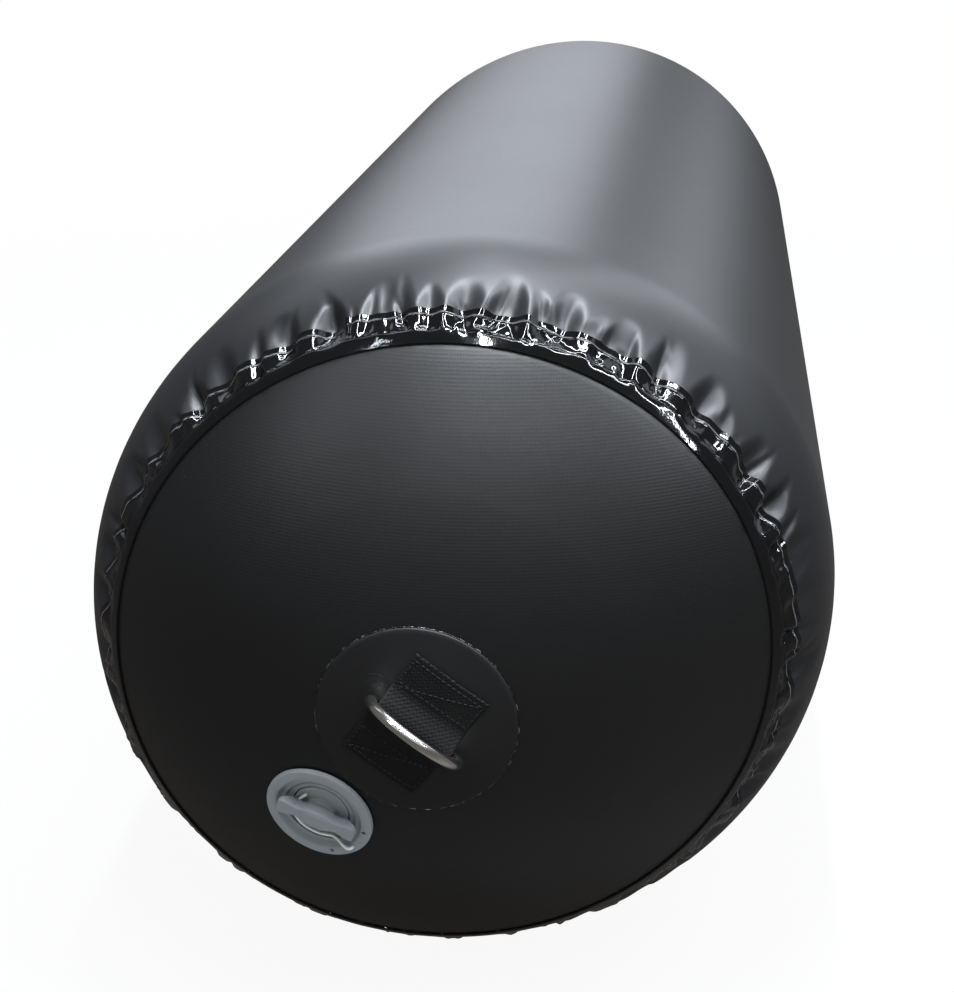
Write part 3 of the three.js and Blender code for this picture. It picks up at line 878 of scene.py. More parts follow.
    def settle(
        self, end: End, s: np.ndarray, theta: np.ndarray, lift: np.ndarray, fine: bool = True
    ) -> np.ndarray:
        """Lays points on the skin.

        Args:
            end: The end from which the arc length counts.
            s: Arc length past the end seam, below zero on the dome.
            theta: Bearing round the axis, from +X towards +Z.
            lift: Height over the skin.
            fine: Whether the small pleats count.

        Returns:
            The points, one row each.
        """
        dome_turn = self.dome_angle + np.minimum(s, 0) / self.dome_radius
        shoulder = np.clip(self.shoulder_turn - s / self.shoulder_radius, 0, self.shoulder_turn)
        on_dome = s <= 0
        past = np.maximum(s - self.shoulder_arc, 0)
        radius = np.where(
            on_dome,
            self.dome_radius * np.sin(dome_turn),
            self.tube_radius - self.shoulder_radius * (1 - np.cos(shoulder)),
        )
        depth = self.shoulder_radius * math.sin(self.shoulder_turn)
        inward = np.where(
            on_dome,
            self.dome_radius * (1 - np.cos(dome_turn)) - self.dome_height,
            depth - self.shoulder_radius * np.sin(shoulder) + past,
        )
        normal_r = np.where(on_dome, np.sin(dome_turn), np.cos(shoulder))
        normal_y = np.where(on_dome, -np.cos(dome_turn), -np.sin(shoulder))
        relief = np.zeros_like(s)
        near = (s > -15 * MM) & (s < self.gather_lengths[1])
        at = (end, s[near], theta[near])
        relief[near] = -self.gathers(*at)
        if fine:
            relief[near] += self.pleats(*at)
        off = lift + relief
        x = (radius + normal_r * off) * np.cos(theta)
        z = (radius + normal_r * off) * np.sin(theta)
        y = end.out * (self.seam_spacing / 2 - inward - normal_y * off)
        return np.c_[x + self.lean * z, y, np.maximum(0, self.axis_height + z + self.lean * x)]

    def dome_y(self, end: End, x: np.ndarray, z: np.ndarray, lift: np.ndarray | float = 0) -> np.ndarray:
        """Gives the dome's Y at a place measured from the fender's axis.

        Args:
            end: The end that is read.
            x: Distance across.
            z: Height over the axis.
            lift: Height over the dome, along Y.

        Returns:
            The Y coordinates.
        """
        shrink = 1 - self.lean**2
        a = (x - self.lean * z) / shrink
        b = (z - self.lean * x) / shrink
        height = np.sqrt(self.dome_radius**2 - a * a - b * b) - (self.dome_radius - self.dome_height)
        return end.out * (self.seam_spacing / 2 + height + lift)


@dataclass(frozen=True)
class ValveSeat:
    """The valve's place in the skin, read from the joint that turns its cap."""

    flange_radius: float = 32 * MM
    running_gap: float = 0.4 * MM
    skin_thickness: float = 1.2 * MM
    barrel_radius: float = 21.5 * MM
    pocket_radius: float = 30.5 * MM
    pocket_depth: float = 32.2 * MM
    flange_top: float = 4.6 * MM

    @property
    def place(self) -> Matrix:
        """The valve's frame: X to its right, Y up its face and Z out of the dome."""
        turn = joint("cap_turn")
        out = Vector(turn["axis"]).normalized()
        right = (Vector((1, 0, 0)) - out * out.x).normalized()
        up = out.cross(right)
        place = Matrix((right, up, out)).transposed().to_4x4()
        place.translation = Vector(turn["pos_m"])
        return place

    def cutter(self) -> bpy.types.Object:
        """Makes the stepped plug that opens the skin for the valve.

        Returns:
            The cutting piece, in its place.
        """
        bore = self.barrel_radius + self.running_gap
        recess = self.flange_radius + self.running_gap
        outline = [
            (0, -self.pocket_depth),
            (self.pocket_radius, -self.pocket_depth),
            (self.pocket_radius, -self.skin_thickness),
            (bore, -self.skin_thickness),
            (bore, 0),
            (recess, 0),
            (recess, 2 * self.flange_top),
            (0, 2 * self.flange_top),
        ]
        plug = Bench.lathe("valve_opening", outline, 160, closed=False)
        plug.data.transform(self.place)
        return plug


@dataclass(frozen=True)
class Bag:
    """The inflated bag: tube and two end discs as one closed skin."""

    skin: Skin
    seat: ValveSeat
    steps: int = 864
    tuck: float = 0.9 * MM
    disc_edge: float = 4 * MM
    valve_span: tuple[float, float] = (50 * MM, 128 * MM)

    def rows(self, end: End) -> list[float]:
        """Gives the arc lengths of one end's rows, from the dome's middle to the tube's middle.

        Args:
            end: The end, of which the front one has closer rows round the valve.

        Returns:
            The arc lengths past the seam.
        """
        skin = self.skin
        longest = skin.gather_lengths[1]
        near, far = (self.valve_span[0] - skin.dome_arc, self.valve_span[1] - skin.dome_arc)
        spans = [
            (-skin.dome_arc, near, 3),
            (near, far, 18 if end is End.FRONT else 4),
            (far, -12 * MM, 3),
            (-12 * MM, 0, 3),
            (0, skin.tape_width, 3),
            (skin.tape_width, longest, 24),
            (longest, skin.shoulder_arc, 6),
            (skin.shoulder_arc, skin.middle, 4),
        ]
        rows = [low + (high - low) * i / count for low, high, count in spans for i in range(count)]
        return [*rows, skin.middle]

    def make(self) -> bpy.types.Object:
        """Builds and dresses the bag.

        Returns:
            The finished piece.
        """
        skin = self.skin
        whole = 2 * (skin.dome_arc + skin.middle)
        flat = [s + skin.dome_arc for s in self.rows(End.FRONT)]
        flat += [whole - skin.dome_arc - s for s in reversed(self.rows(End.REAR)[:-1])]
        bag = Bench.lathe("inflated_skin", [(rho, 0.0) for rho in flat], self.steps, closed=False)
        self.mark_discs(bag, whole)
        Bench.reshape(bag, self.inflate)
        Bench.tidy(bag, merge=2e-6, crease=60)
        uncut = Bench.twin(bag)
        Bench.combine(bag, self.seat.cutter(), "DIFFERENCE")
        Bench.modify(
            bag, "DATA_TRANSFER", object=uncut, use_loop_data=True, data_types_loops={"CUSTOM_NORMAL"},
            loop_mapping="POLYINTERP_NEAREST", use_max_distance=True, max_distance=0.2 * MM,
        )
        bpy.data.objects.remove(uncut)
        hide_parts("fender_body")
        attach(bag, "fender")
        return bag

    def mark_discs(self, bag: bpy.types.Object, whole: float) -> None:
        """Gives the faces of both end discs the second material.

        Args:
            bag: The blank, still flat.
            whole: The length of the whole outline.
        """
        for finish in (SKIN, DISC):
            bag.data.materials.append(finish.material())
        centres = np.empty(3 * len(bag.data.polygons))
        bag.data.polygons.foreach_get("center", centres)
        rho = np.hypot(*centres.reshape(-1, 3)[:, :2].T)
        edge = self.skin.dome_arc + self.disc_edge
        on_disc = (rho < edge) | (rho > whole - edge)
        bag.data.polygons.foreach_set("material_index", on_disc.astype(np.int32))

    def inflate(self, points: np.ndarray) -> np.ndarray:
        """Lays the flat blank on the fender's form.

        Args:
            points: The blank's vertices.

        Returns:
            Their places on the fender.
        """
        skin = self.skin
        rho = np.hypot(points[:, 0], points[:, 1])
        theta = np.arctan2(points[:, 1], points[:, 0])
        half = skin.dome_arc + skin.middle
        from_front = rho <= half
        s = np.where(from_front, rho, 2 * half - rho) - skin.dome_arc
        under_tape = smoothstep(s, 0, 2 * MM) * (1 - smoothstep(s, skin.tape_width - 2 * MM, skin.tape_width))
        lift = -self.tuck * under_tape
        placed = np.empty_like(points)
        for end, mask in ((End.FRONT, from_front), (End.REAR, ~from_front)):
            placed[mask] = skin.settle(end, s[mask], theta[mask], lift[mask])
        return placed


@dataclass(frozen=True)
class SeamTape:
    """The glossy tape over an end seam, gathered with the skin."""

    skin: Skin
    end: End
    gap: float = 0.3 * MM
    thickness: float = 0.7 * MM
    steps: int = 1600

    def outline(self) -> list[tuple[float, float]]:
        """Gives the tape's flat section: arc length and height of each point."""
        skin = self.skin
        top = self.gap + self.thickness
        plain = np.linspace(0.5 * MM, skin.tape_width - 0.5 * MM, 25)
        fold = skin.fold_at + np.array([-1, -0.5, 0, 0.5, 1]) * 0.8 * MM
        line = skin.line_at + np.array([-1, -0.6, -0.2, 0.2, 0.6, 1]) * 0.9 * MM
        upper = sorted({round(float(s), 6) for s in (*plain, *fold, *line)})
        under = np.linspace(skin.tape_width - 0.5 * MM, 0.5 * MM, 6)
        edge = self.gap + self.thickness * 0.35
        return [
            (0.05 * MM, edge),
            *((s, top) for s in upper),
            (skin.tape_width, edge),
            *((float(s), self.gap) for s in under),
        ]

    def make(self) -> bpy.types.Object:
        """Builds and dresses the tape.

        Returns:
            The finished piece.
        """
        hub = self.skin.seam_radius
        flat = [(hub + s, height) for s, height in self.outline()]
        tape = Bench.lathe(f"gathered_tape_{self.end.label}", flat, self.steps, closed=True)
        arc = np.hypot(*Bench.points(tape)[:, :2].T) - hub
        tape.data.attributes.new("arc", "FLOAT", "POINT").data.foreach_set("value", arc)
        Bench.reshape(tape, self.gather)
        Bench.tidy(tape, crease=70)
        tape.data.materials.append(TAPE.material())
        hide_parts(f"seam_tape_{self.end.label}")
        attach(tape, "fender")
        return tape

    def gather(self, points: np.ndarray) -> np.ndarray:
        """Lays the flat ring of tape on the gathered seam.

        Args:
            points: The ring's vertices.

        Returns:
            Their places on the skin.
        """
        s = np.hypot(points[:, 0], points[:, 1]) - self.skin.seam_radius
        theta = np.arctan2(points[:, 1], points[:, 0])
        upper = points[:, 2] > self.gap + self.thickness / 2
        relief = np.where(upper, self.skin.seam_lines(self.end, s, theta), 0)
        return self.skin.settle(self.end, s, theta, points[:, 2] + relief)


@dataclass(frozen=True)
class LapStrip:
    """The strip over the tube's own lap seam, low on one side."""

    skin: Skin
    width: float = 32 * MM
    thickness: float = 0.9 * MM
    gap: float = 0.3 * MM
    bearing: float = math.radians(-68)

    def make(self) -> bpy.types.Object:
        """Builds and dresses the strip.

        Returns:
            The finished piece.
        """
        strip = Bench.slab("lap_strip", 160, 16)
        Bench.reshape(strip, self.lay)
        Bench.tidy(strip)
        strip.data.materials.append(STRIP.material())
        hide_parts("tube_lap_strip")
        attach(strip, "fender")
        return strip

    def lay(self, points: np.ndarray) -> np.ndarray:
        """Lays the blank along the tube.

        Args:
            points: The blank's vertices.

        Returns:
            Their places on the skin.
        """
        skin = self.skin
        start = skin.gather_lengths[1]
        along, across, layer = points.T
        s = start + (1 - np.abs(along)) * (skin.middle - start)
        theta = self.bearing + across * self.width / 2 / skin.tube_radius
        rim = np.minimum(1 - smoothstep(np.abs(across), 0.94, 1), 1)
        lift = self.gap + layer * self.thickness * (0.35 + 0.65 * rim)
        placed = np.empty_like(points)
        for end, mask in ((End.FRONT, along < 0), (End.REAR, along >= 0)):
            placed[mask] = skin.settle(end, s[mask], theta[mask], lift[mask], fine=False)
        return placed


@dataclass(frozen=True)
class HangEye:
    """A hang eye: glued patch, webbing loop with its stitching, and D-ring."""

    skin: Skin
    end: End
    gap: float = 0.3 * MM
    patch_radius: float = 55.5 * MM
    patch_thickness: float = 1.2 * MM
    strap_width: float = 48 * MM
    strap_length: float = 71 * MM
    strap_thickness: float = 2 * MM
    strap_bearing: float = math.radians(54)
    loop_half_length: float = 16 * MM
    wire: float = 6 * MM
    ring_inner_width: float = 51 * MM
    ring_depth: float = 38 * MM
    ring_corner: float = 6 * MM
    ring_lean: float = math.radians(23)
    stitch_box: tuple[float, float] = (17.5 * MM, 32.5 * MM)
    stitch_edge: float = 22 * MM
    stitch_length: float = 2.5 * MM
    stitch_pitch: float = 3.2 * MM
    stitch_radius: float = 0.34 * MM

    @property
    def patch_top(self) -> float:
        """Height of the patch over the dome."""
        return self.gap + self.patch_thickness

    def on_dome(self, x: np.ndarray, z: np.ndarray, lift: np.ndarray | float) -> np.ndarray:
        """Gives points over the dome at places measured from the fender's axis."""
        return np.c_[x, self.skin.dome_y(self.end, x, z, lift), self.skin.axis_height + z]

    def dress(self, piece: bpy.types.Object, finish: Finish, slot: str, *nodes: str) -> None:
        """Gives a piece its finish, its body and the node that it stands for.

        Args:
            piece: The piece to dress.
            finish: Its finish.
            slot: Not used.
            *nodes: The nodes that it replaces, without the end's name.
        """
        piece.data.materials.append(finish.material())
        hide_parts(*(f"{node}_{self.end.label}" for node in nodes))
        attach(piece, f"ring_{self.end.label}" if "d_ring" in nodes else "fender")
        LOG.info("made %s", piece.name)

    def make(self) -> None:
        """Builds and dresses the whole hang eye."""
        self.make_patch()
        self.make_glue()
        self.make_strap()
        self.make_stitching()
        self.make_ring()
        if self.end is End.FRONT:
            self.make_thread_tail()

    def make_patch(self) -> None:
        """Makes the round patch with its soft edge."""
        radii = np.linspace(0, self.patch_radius - 0.8 * MM, 28)
        top, foot = self.patch_top, self.gap
        edge = [(self.patch_radius - 0.25 * MM, top - 0.25 * MM), (self.patch_radius, top - 0.7 * MM)]
        outline = [(0.0, foot), (self.patch_radius * 0.5, foot), (self.patch_radius, foot), *reversed(edge)]
        outline += [(float(r), top) for r in reversed(radii)]
        patch = Bench.lathe(f"glued_patch_{self.end.label}", outline, 256, closed=False)
        draw = np.random.default_rng(31)
        phases = draw.uniform(0, FULL_TURN, 6)

        def lay(points: np.ndarray) -> np.ndarray:
            """Lays the flat patch on the dome, with the slack that the glue left in it."""
            x, z, height = points.T
            swell = sum(
                np.sin((20 + 14 * k) * (x * math.cos(phase) + z * math.sin(phase)) + k)
                for k, phase in enumerate(phases)
            )
            return self.on_dome(x, z, height + np.where(height > foot, 0.05 * MM * swell, 0))

        Bench.reshape(patch, lay)
        Bench.tidy(patch, crease=80)
        self.dress(patch, PATCH, "pvc_patch", "ring_patch")

    def make_glue(self) -> None:
        """Makes the uneven bead of glue round the patch."""
        Bench.clear()
        bpy.ops.mesh.primitive_torus_add(
            major_segments=480, minor_segments=8, major_radius=self.patch_radius, minor_radius=0.45 * MM
        )
        bead = Bench.named(f"glue_bead_{self.end.label}")
        draw = np.random.default_rng(32)
        waves = draw.integers(5, 90, 16)
        phases = draw.uniform(0, FULL_TURN, 16)

        def squeeze(points: np.ndarray) -> np.ndarray:
            """Makes the bead thicker and thinner on its way round, and lays it on the dome."""
            x, z, height = points.T
            theta = np.arctan2(z, x)
            uneven = sum(np.sin(n * theta + phase) for n, phase in zip(waves, phases)) / 4
            thick = np.clip(0.75 + 0.5 * uneven, 0.2, 1.7)
            rho = np.hypot(x, z)
            spread = self.patch_radius + 0.25 * MM + (rho - self.patch_radius) * thick
            lift = self.gap * 0.5 + 0.2 * MM + height * thick
            return self.on_dome(spread * np.cos(theta), spread * np.sin(theta), lift)

        Bench.reshape(bead, squeeze)
        Bench.tidy(bead, crease=80)
        self.dress(bead, GLUE, "pvc_patch")

    def strap_places(self, u: np.ndarray, v: np.ndarray, lift: np.ndarray | float) -> np.ndarray:
        """Lays points on the strap's form, flat on the patch but for the loop over the ring.

        Args:
            u: Distance along the strap.
            v: Distance across it, along the ring's bar.
            lift: Height over the patch's top.

        Returns:
            The points, one row each.
        """
        cos, sin = math.cos(self.strap_bearing), math.sin(self.strap_bearing)
        x, z = u * cos + v * sin, u * sin - v * cos
        rise = self.gap + self.wire + 0.4 * MM + v**2 / (2 * self.skin.dome_radius)
        arch = np.where(np.abs(u) < self.loop_half_length, bump(u, 0, self.loop_half_length), 0)
        return self.on_dome(x, z, self.patch_top + self.gap + lift + arch * rise)

    def make_strap(self) -> None:
        """Makes the webbing loop with its woven relief and ragged ends."""
        strap = Bench.slab(f"webbing_loop_{self.end.label}", 190, 128)
        draw = np.random.default_rng(33)
        fray = draw.uniform(-1, 1, 4000)

        def weave(points: np.ndarray) -> np.ndarray:
            """Lays the blank over the ring and raises its threads."""
            u, v, layer = points.T
            u, v = u * self.strap_length / 2, v * self.strap_width / 2
            ragged = fray[((v / MM) * 40 + 1500).astype(int) % 4000]
            u = u + np.where(np.abs(u) > self.strap_length / 2 - 0.4 * MM, 0.35 * MM * ragged, 0)
            warp = np.cos(FULL_TURN * v / (2.8 * MM))
            weft = np.cos(FULL_TURN * u / (2.3 * MM))
            relief = 0.16 * MM * warp * weft + 0.05 * MM * weft
            fade = 1 - smoothstep(np.abs(v), self.strap_width / 2 - 1.2 * MM, self.strap_width / 2)
            hem = 0.45 * MM * (1 - fade)
            lift = np.where(layer > 0.5, self.strap_thickness - 0.3 * MM + relief * fade - hem, 0.15 * MM)
            return self.strap_places(u, v, lift)

        Bench.reshape(strap, weave)
        Bench.tidy(strap, crease=80)
        self.dress(strap, WEBBING, "webbing", "webbing")

    def stitch_rows(self) -> list[tuple[float, float, float, float]]:
        """Gives the sewn lines of both legs, each from one u and v to another: a box and its diagonal."""
        edge = self.stitch_edge
        rows = []
        for side in (1, -1):
            near, far = (side * u for u in self.stitch_box)
            low, high = sorted((near - side * 2.5 * MM, far - side * 0.5 * MM))
            rows += [
                (far, -edge, far, edge),
                (near, -edge, near, edge),
                (near, -edge, far, -edge),
                (near, edge, far, edge),
                (low, MM - edge, high, edge - MM),
            ]
        return rows

    def make_stitching(self) -> None:
        """Sews both legs down, one stitch copied along each line."""
        Bench.clear()
        bpy.ops.mesh.primitive_uv_sphere_add(segments=8, ring_count=6, radius=1)
        stitch = Bench.named("stitch")
        half, thick = self.stitch_length / 2, self.stitch_radius
        stitch.data.transform(Matrix.Diagonal((half, thick, thick, 1)))
        draw = np.random.default_rng(34)
        places = []
        for u0, v0, u1, v1 in self.stitch_rows():
            start, stop = np.array((u0, v0)), np.array((u1, v1))
            run = float(np.linalg.norm(stop - start))
            count = int(run / self.stitch_pitch)
            for i in range(count):
                middle = start + (stop - start) * (i + 0.5 + draw.uniform(-0.08, 0.08)) / count
                ahead = middle + (stop - start) / run * MM
                u, v = np.array((middle[0], ahead[0])), np.array((middle[1], ahead[1]))
                points = self.strap_places(u, v, self.strap_thickness - 0.12 * MM)
                along = Vector(points[1] - points[0]).normalized()
                side = Vector((0, self.end.out, 0)).cross(along).normalized()
                turned = Matrix((along, side, along.cross(side))).transposed().to_4x4()
                turned.translation = Vector(points[0])
                places.append(turned)
        stitching = Bench.copies(stitch, places, f"stitching_{self.end.label}")
        Bench.tidy(stitching, merge=1e-7)
        self.dress(stitching, THREAD, "webbing")

    def make_thread_tail(self) -> None:
        """Leaves the loose end of the sewing thread beside the strap."""
        across = np.array([-23.5, -26, -29, -32, -35, -37]) * MM
        along = np.array([8.5, 10.8, 12.6, 12.4, 10.2, 9.4]) * MM
        lift = np.array([0.9, 0.6, 0.35, 0.35, 0.35, 0.35]) * MM
        fine = np.linspace(0, 5, 60)
        knots = np.arange(6)
        u, v, height = (np.polyval(np.polyfit(knots, row, 5), fine) for row in (along, across, lift))
        cos, sin = math.cos(self.strap_bearing), math.sin(self.strap_bearing)
        line = self.on_dome(u * cos + v * sin, u * sin - v * cos, self.patch_top + height)
        tail = Bench.tube("thread_tail", line, 0.17 * MM, 1)
        self.dress(tail, THREAD, "webbing")

    def ring_line(self) -> np.ndarray:
        """Gives the ring's centre line in its own plane: along the bar and away from it."""
        half = (self.ring_inner_width + self.wire) / 2
        corner = self.ring_corner
        turn = np.radians(np.linspace(-90, 0, 40, endpoint=False))
        bow = np.radians(np.linspace(0, 180, 160, endpoint=False))
        bar = np.linspace(corner - half, half - corner, 80, endpoint=False)
        right = np.c_[half - corner + corner * np.cos(turn), corner + corner * np.sin(turn)]
        top = np.c_[half * np.cos(bow), corner + (self.ring_depth - corner) * np.sin(bow)]
        left = np.c_[-right[::-1, 0], right[::-1, 1]]
        line = np.vstack([np.c_[bar, np.zeros_like(bar)], right, top, left])
        return np.roll(line, 20, axis=0)

    def make_ring(self) -> None:
        """Makes the D-ring from a round wire ring pressed to its outline."""
        Bench.clear()
        bpy.ops.mesh.primitive_torus_add(
            major_segments=240, minor_segments=28, major_radius=1, minor_radius=self.wire / 2
        )
        ring = Bench.named(f"steel_ring_{self.end.label}")
        line = self.ring_line()
        closed = np.vstack([line, line[:1]])
        steps = np.r_[0, np.cumsum(np.linalg.norm(np.diff(closed, axis=0), axis=1))]
        whole = steps[-1]
        cos, sin = math.cos(self.strap_bearing), math.sin(self.strap_bearing)
        bar = np.array((sin, 0, -cos))
        deep = np.array((0, self.end.out * math.cos(self.ring_lean), 0))
        deep = deep + np.array((cos, 0, sin)) * math.sin(self.ring_lean)
        flat = np.cross(bar, deep)
        lift = self.patch_top + self.gap + self.wire / 2
        height = self.skin.dome_y(self.end, np.zeros(1), np.zeros(1), lift)
        centre = np.array((0, float(height[0]), self.skin.axis_height))

        def along(at: np.ndarray) -> np.ndarray:
            """Gives the two coordinates of the places at these distances along the outline."""
            return np.array([np.interp(at % whole, steps, closed[:, k]) for k in (0, 1)])

        def press(points: np.ndarray) -> np.ndarray:
            """Moves each section of the round ring to its place on the outline."""
            x, y, z = points.T
            at = (np.arctan2(y, x) / FULL_TURN) % 1 * whole
            reach = np.hypot(x, y) - 1
            way = along(at + whole / 4000) - along(at - whole / 4000)
            way /= np.linalg.norm(way, axis=0)
            a, b = along(at) + np.array((way[1], -way[0])) * reach
            return centre + np.outer(a, bar) + np.outer(b, deep) + np.outer(z, flat)

        Bench.reshape(ring, press)
        Bench.tidy(ring, crease=80)
        self.dress(ring, STEEL, "stainless", "d_ring")


@dataclass(frozen=True)
class Valve:
    """The air valve: flange with its dish, wing cap, tether, and the parts inside."""

    seat: ValveSeat
    bore_radius: float = 17.2 * MM
    dish_radius: float = 20 * MM
    dish_edge: float = 26 * MM
    flange_under: float = 1.4 * MM
    flange_top: float = 4.6 * MM
    ledge: float = -0.4 * MM
    barrel_length: float = 24 * MM
    hole_radius: float = 1.2 * MM
    hole_circle: float = 27.8 * MM
    hole_bearings: tuple[float, ...] = (-14, -45, -77)
    spider_top: float = 15.5 * MM
    spider_thickness: float = 2 * MM
    seat_radius: float = 13.5 * MM
    seat_thickness: float = 2.5 * MM
    hub_radius: float = 4 * MM
    stem_clearance: float = 1.9 * MM
    plug_radius: float = 16.5 * MM
    plug_depth: float = 8 * MM
    plug_wall: float = 4 * MM
    o_ring_wire: float = 2 * MM
    pedestal_radius: float = 9 * MM
    wing_bearing: float = math.radians(-15)
    wing_length: float = 47.5 * MM
    wing_end_width: float = 10.5 * MM
    wing_neck_width: float = 7.5 * MM
    wing_boss_width: float = 12.6 * MM
    wing_under: float = 2.3 * MM
    wing_top: float = 10.2 * MM
    tether_diameter: float = 1.8 * MM
    tether_rise: tuple[float, float, float] = (-14 * MM, -10.5 * MM, 1 * MM)
    spring_radius: float = 3.4 * MM
    spring_wire: float = 0.7 * MM
    spring_turns: int = 5
    spring_span: tuple[float, float] = (-15.2 * MM, -5.6 * MM)

    def set_in(self, piece: bpy.types.Object, finish: Finish, body: str, slot: str, *nodes: str) -> None:
        """Puts a piece in the valve's place and dresses it.

        Args:
            piece: The piece, made in the valve's own frame.
            finish: Its finish.
            body: The body that it rides on.
            slot: Not used.
            *nodes: The nodes that it replaces.
        """
        piece.data.transform(self.seat.place)
        piece.data.update()
        piece.data.materials.clear()
        piece.data.materials.append(finish.material())
        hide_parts(*nodes)
        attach(piece, body)
        LOG.info("made %s", piece.name)

    def make(self) -> None:
        """Builds and dresses the whole valve."""
        self.make_tether()
        self.make_flange()
        self.make_cap()
        self.make_spring()
        self.dress_inside()

    def make_flange(self) -> None:
        """Turns the flange, dish and barrel, and adds the poppet's spider and the tether holes."""
        radius = self.seat.flange_radius
        spider_under = -self.spider_top - self.spider_thickness
        outline = [
            (self.bore_radius, self.ledge + 0.5 * MM),
            (self.dish_radius - 0.4 * MM, self.ledge + 0.5 * MM),
            (self.dish_radius, self.ledge),
            (self.dish_radius + 1.4 * MM, self.ledge + 0.15 * MM),
            (self.dish_radius + 3.4 * MM, self.ledge + 1.3 * MM),
            (self.dish_radius + 4.8 * MM, self.ledge + 2.9 * MM),
            (self.dish_edge - 0.3 * MM, self.flange_top - 0.4 * MM),
            (self.dish_edge + 0.5 * MM, self.flange_top),
            (radius - 1.5 * MM, self.flange_top),
            (radius - 0.45 * MM, self.flange_top - 0.4 * MM),
            (radius, self.flange_top - 1.3 * MM),
            (radius, self.flange_under),
            (self.seat.barrel_radius, self.flange_under),
            (self.seat.barrel_radius, -self.barrel_length),
            (self.bore_radius, -self.barrel_length),
            (self.bore_radius, spider_under - self.seat_thickness),
            (self.seat_radius, spider_under - self.seat_thickness),
            (self.seat_radius, spider_under),
            (self.bore_radius, -self.spider_top),
        ]
        flange = Bench.lathe("valve_flange", outline, 192, closed=True)
        Bench.modify(flange, "BEVEL", width=0.22 * MM, segments=2, limit_method="ANGLE", angle_limit=0.6)
        hub = [
            (self.stem_clearance, spider_under),
            (self.hub_radius, spider_under),
            (self.hub_radius, -self.spider_top),
            (self.stem_clearance, -self.spider_top),
        ]
        middle = Bench.lathe("spider_hub", hub, 48, closed=True)
        Bench.combine(flange, middle, "UNION")
        reach = self.bore_radius + 1 * MM - (self.hub_radius - 0.6 * MM)
        for i in range(3):
            Bench.clear()
            bpy.ops.mesh.primitive_cube_add(size=1)
            arm = Bench.named("spider_arm")
            arm.data.transform(Matrix.Diagonal((reach, 2 * MM, self.spider_thickness * 0.9, 1)))
            shift = (self.hub_radius - 0.6 * MM + reach / 2, 0, (spider_under - self.spider_top) / 2)
            arm.data.transform(Matrix.Rotation(FULL_TURN * i / 3, 4, "Z") @ Matrix.Translation(shift))
            Bench.modify(arm, "BEVEL", width=0.2 * MM, segments=2)
            Bench.combine(flange, arm, "UNION")
        for bearing in self.hole_bearings:
            Bench.clear()
            bpy.ops.mesh.primitive_cylinder_add(vertices=32, radius=self.hole_radius, depth=12 * MM)
            drill = Bench.named("tether_hole")
            turn = math.radians(bearing)
            shift = (self.hole_circle * math.cos(turn), self.hole_circle * math.sin(turn), 0)
            drill.data.transform(Matrix.Translation(shift))
            Bench.combine(flange, drill, "DIFFERENCE")
        Bench.tidy(flange, crease=35)
        self.set_in(flange, GREY, "fender", "valve_plastic", "valve_body")

    def make_cap(self) -> None:
        """Makes the plug and pedestal, and joins the wing bar onto them."""
        disc_top = self.ledge + 0.3 * MM
        groove_top = disc_top - 1.6 * MM
        groove_under = groove_top - self.o_ring_wire - 0.6 * MM
        ceiling = disc_top - 2.2 * MM
        inner = self.plug_radius - self.plug_wall
        outline = [
            (0, ceiling),
            (inner, ceiling),
            (inner, disc_top - self.plug_depth),
            (self.plug_radius, disc_top - self.plug_depth),
            (self.plug_radius, groove_under),
            (self.plug_radius - self.o_ring_wire, groove_under),
            (self.plug_radius - self.o_ring_wire, groove_top),
            (self.plug_radius, groove_top),
            (self.plug_radius, disc_top),
            (self.plug_radius - 0.9 * MM, disc_top + 0.25 * MM),
            (self.plug_radius - 2 * MM, disc_top),
            (self.pedestal_radius, disc_top),
            (self.pedestal_radius - 0.6 * MM, self.wing_under + 1 * MM),
            (0, self.wing_under + 1 * MM),
        ]
        cap = Bench.lathe("wing_cap", outline, 160, closed=False)
        Bench.modify(cap, "BEVEL", width=0.2 * MM, segments=2, limit_method="ANGLE", angle_limit=0.6)
        Bench.combine(cap, self.wing(), "UNION")
        Bench.tidy(cap, crease=35)
        self.set_in(cap, GREY, "cap", "valve_plastic", "valve_cap")

    def wing(self) -> bpy.types.Object:
        """Makes the wing bar from a sphere drawn out along the bar.

        Returns:
            The bar in the valve's frame.
        """
        Bench.clear()
        bpy.ops.mesh.primitive_uv_sphere_add(segments=96, ring_count=104, radius=1)
        bar = Bench.named("wing_bar")
        half = self.wing_length / 2
        square = 7.0

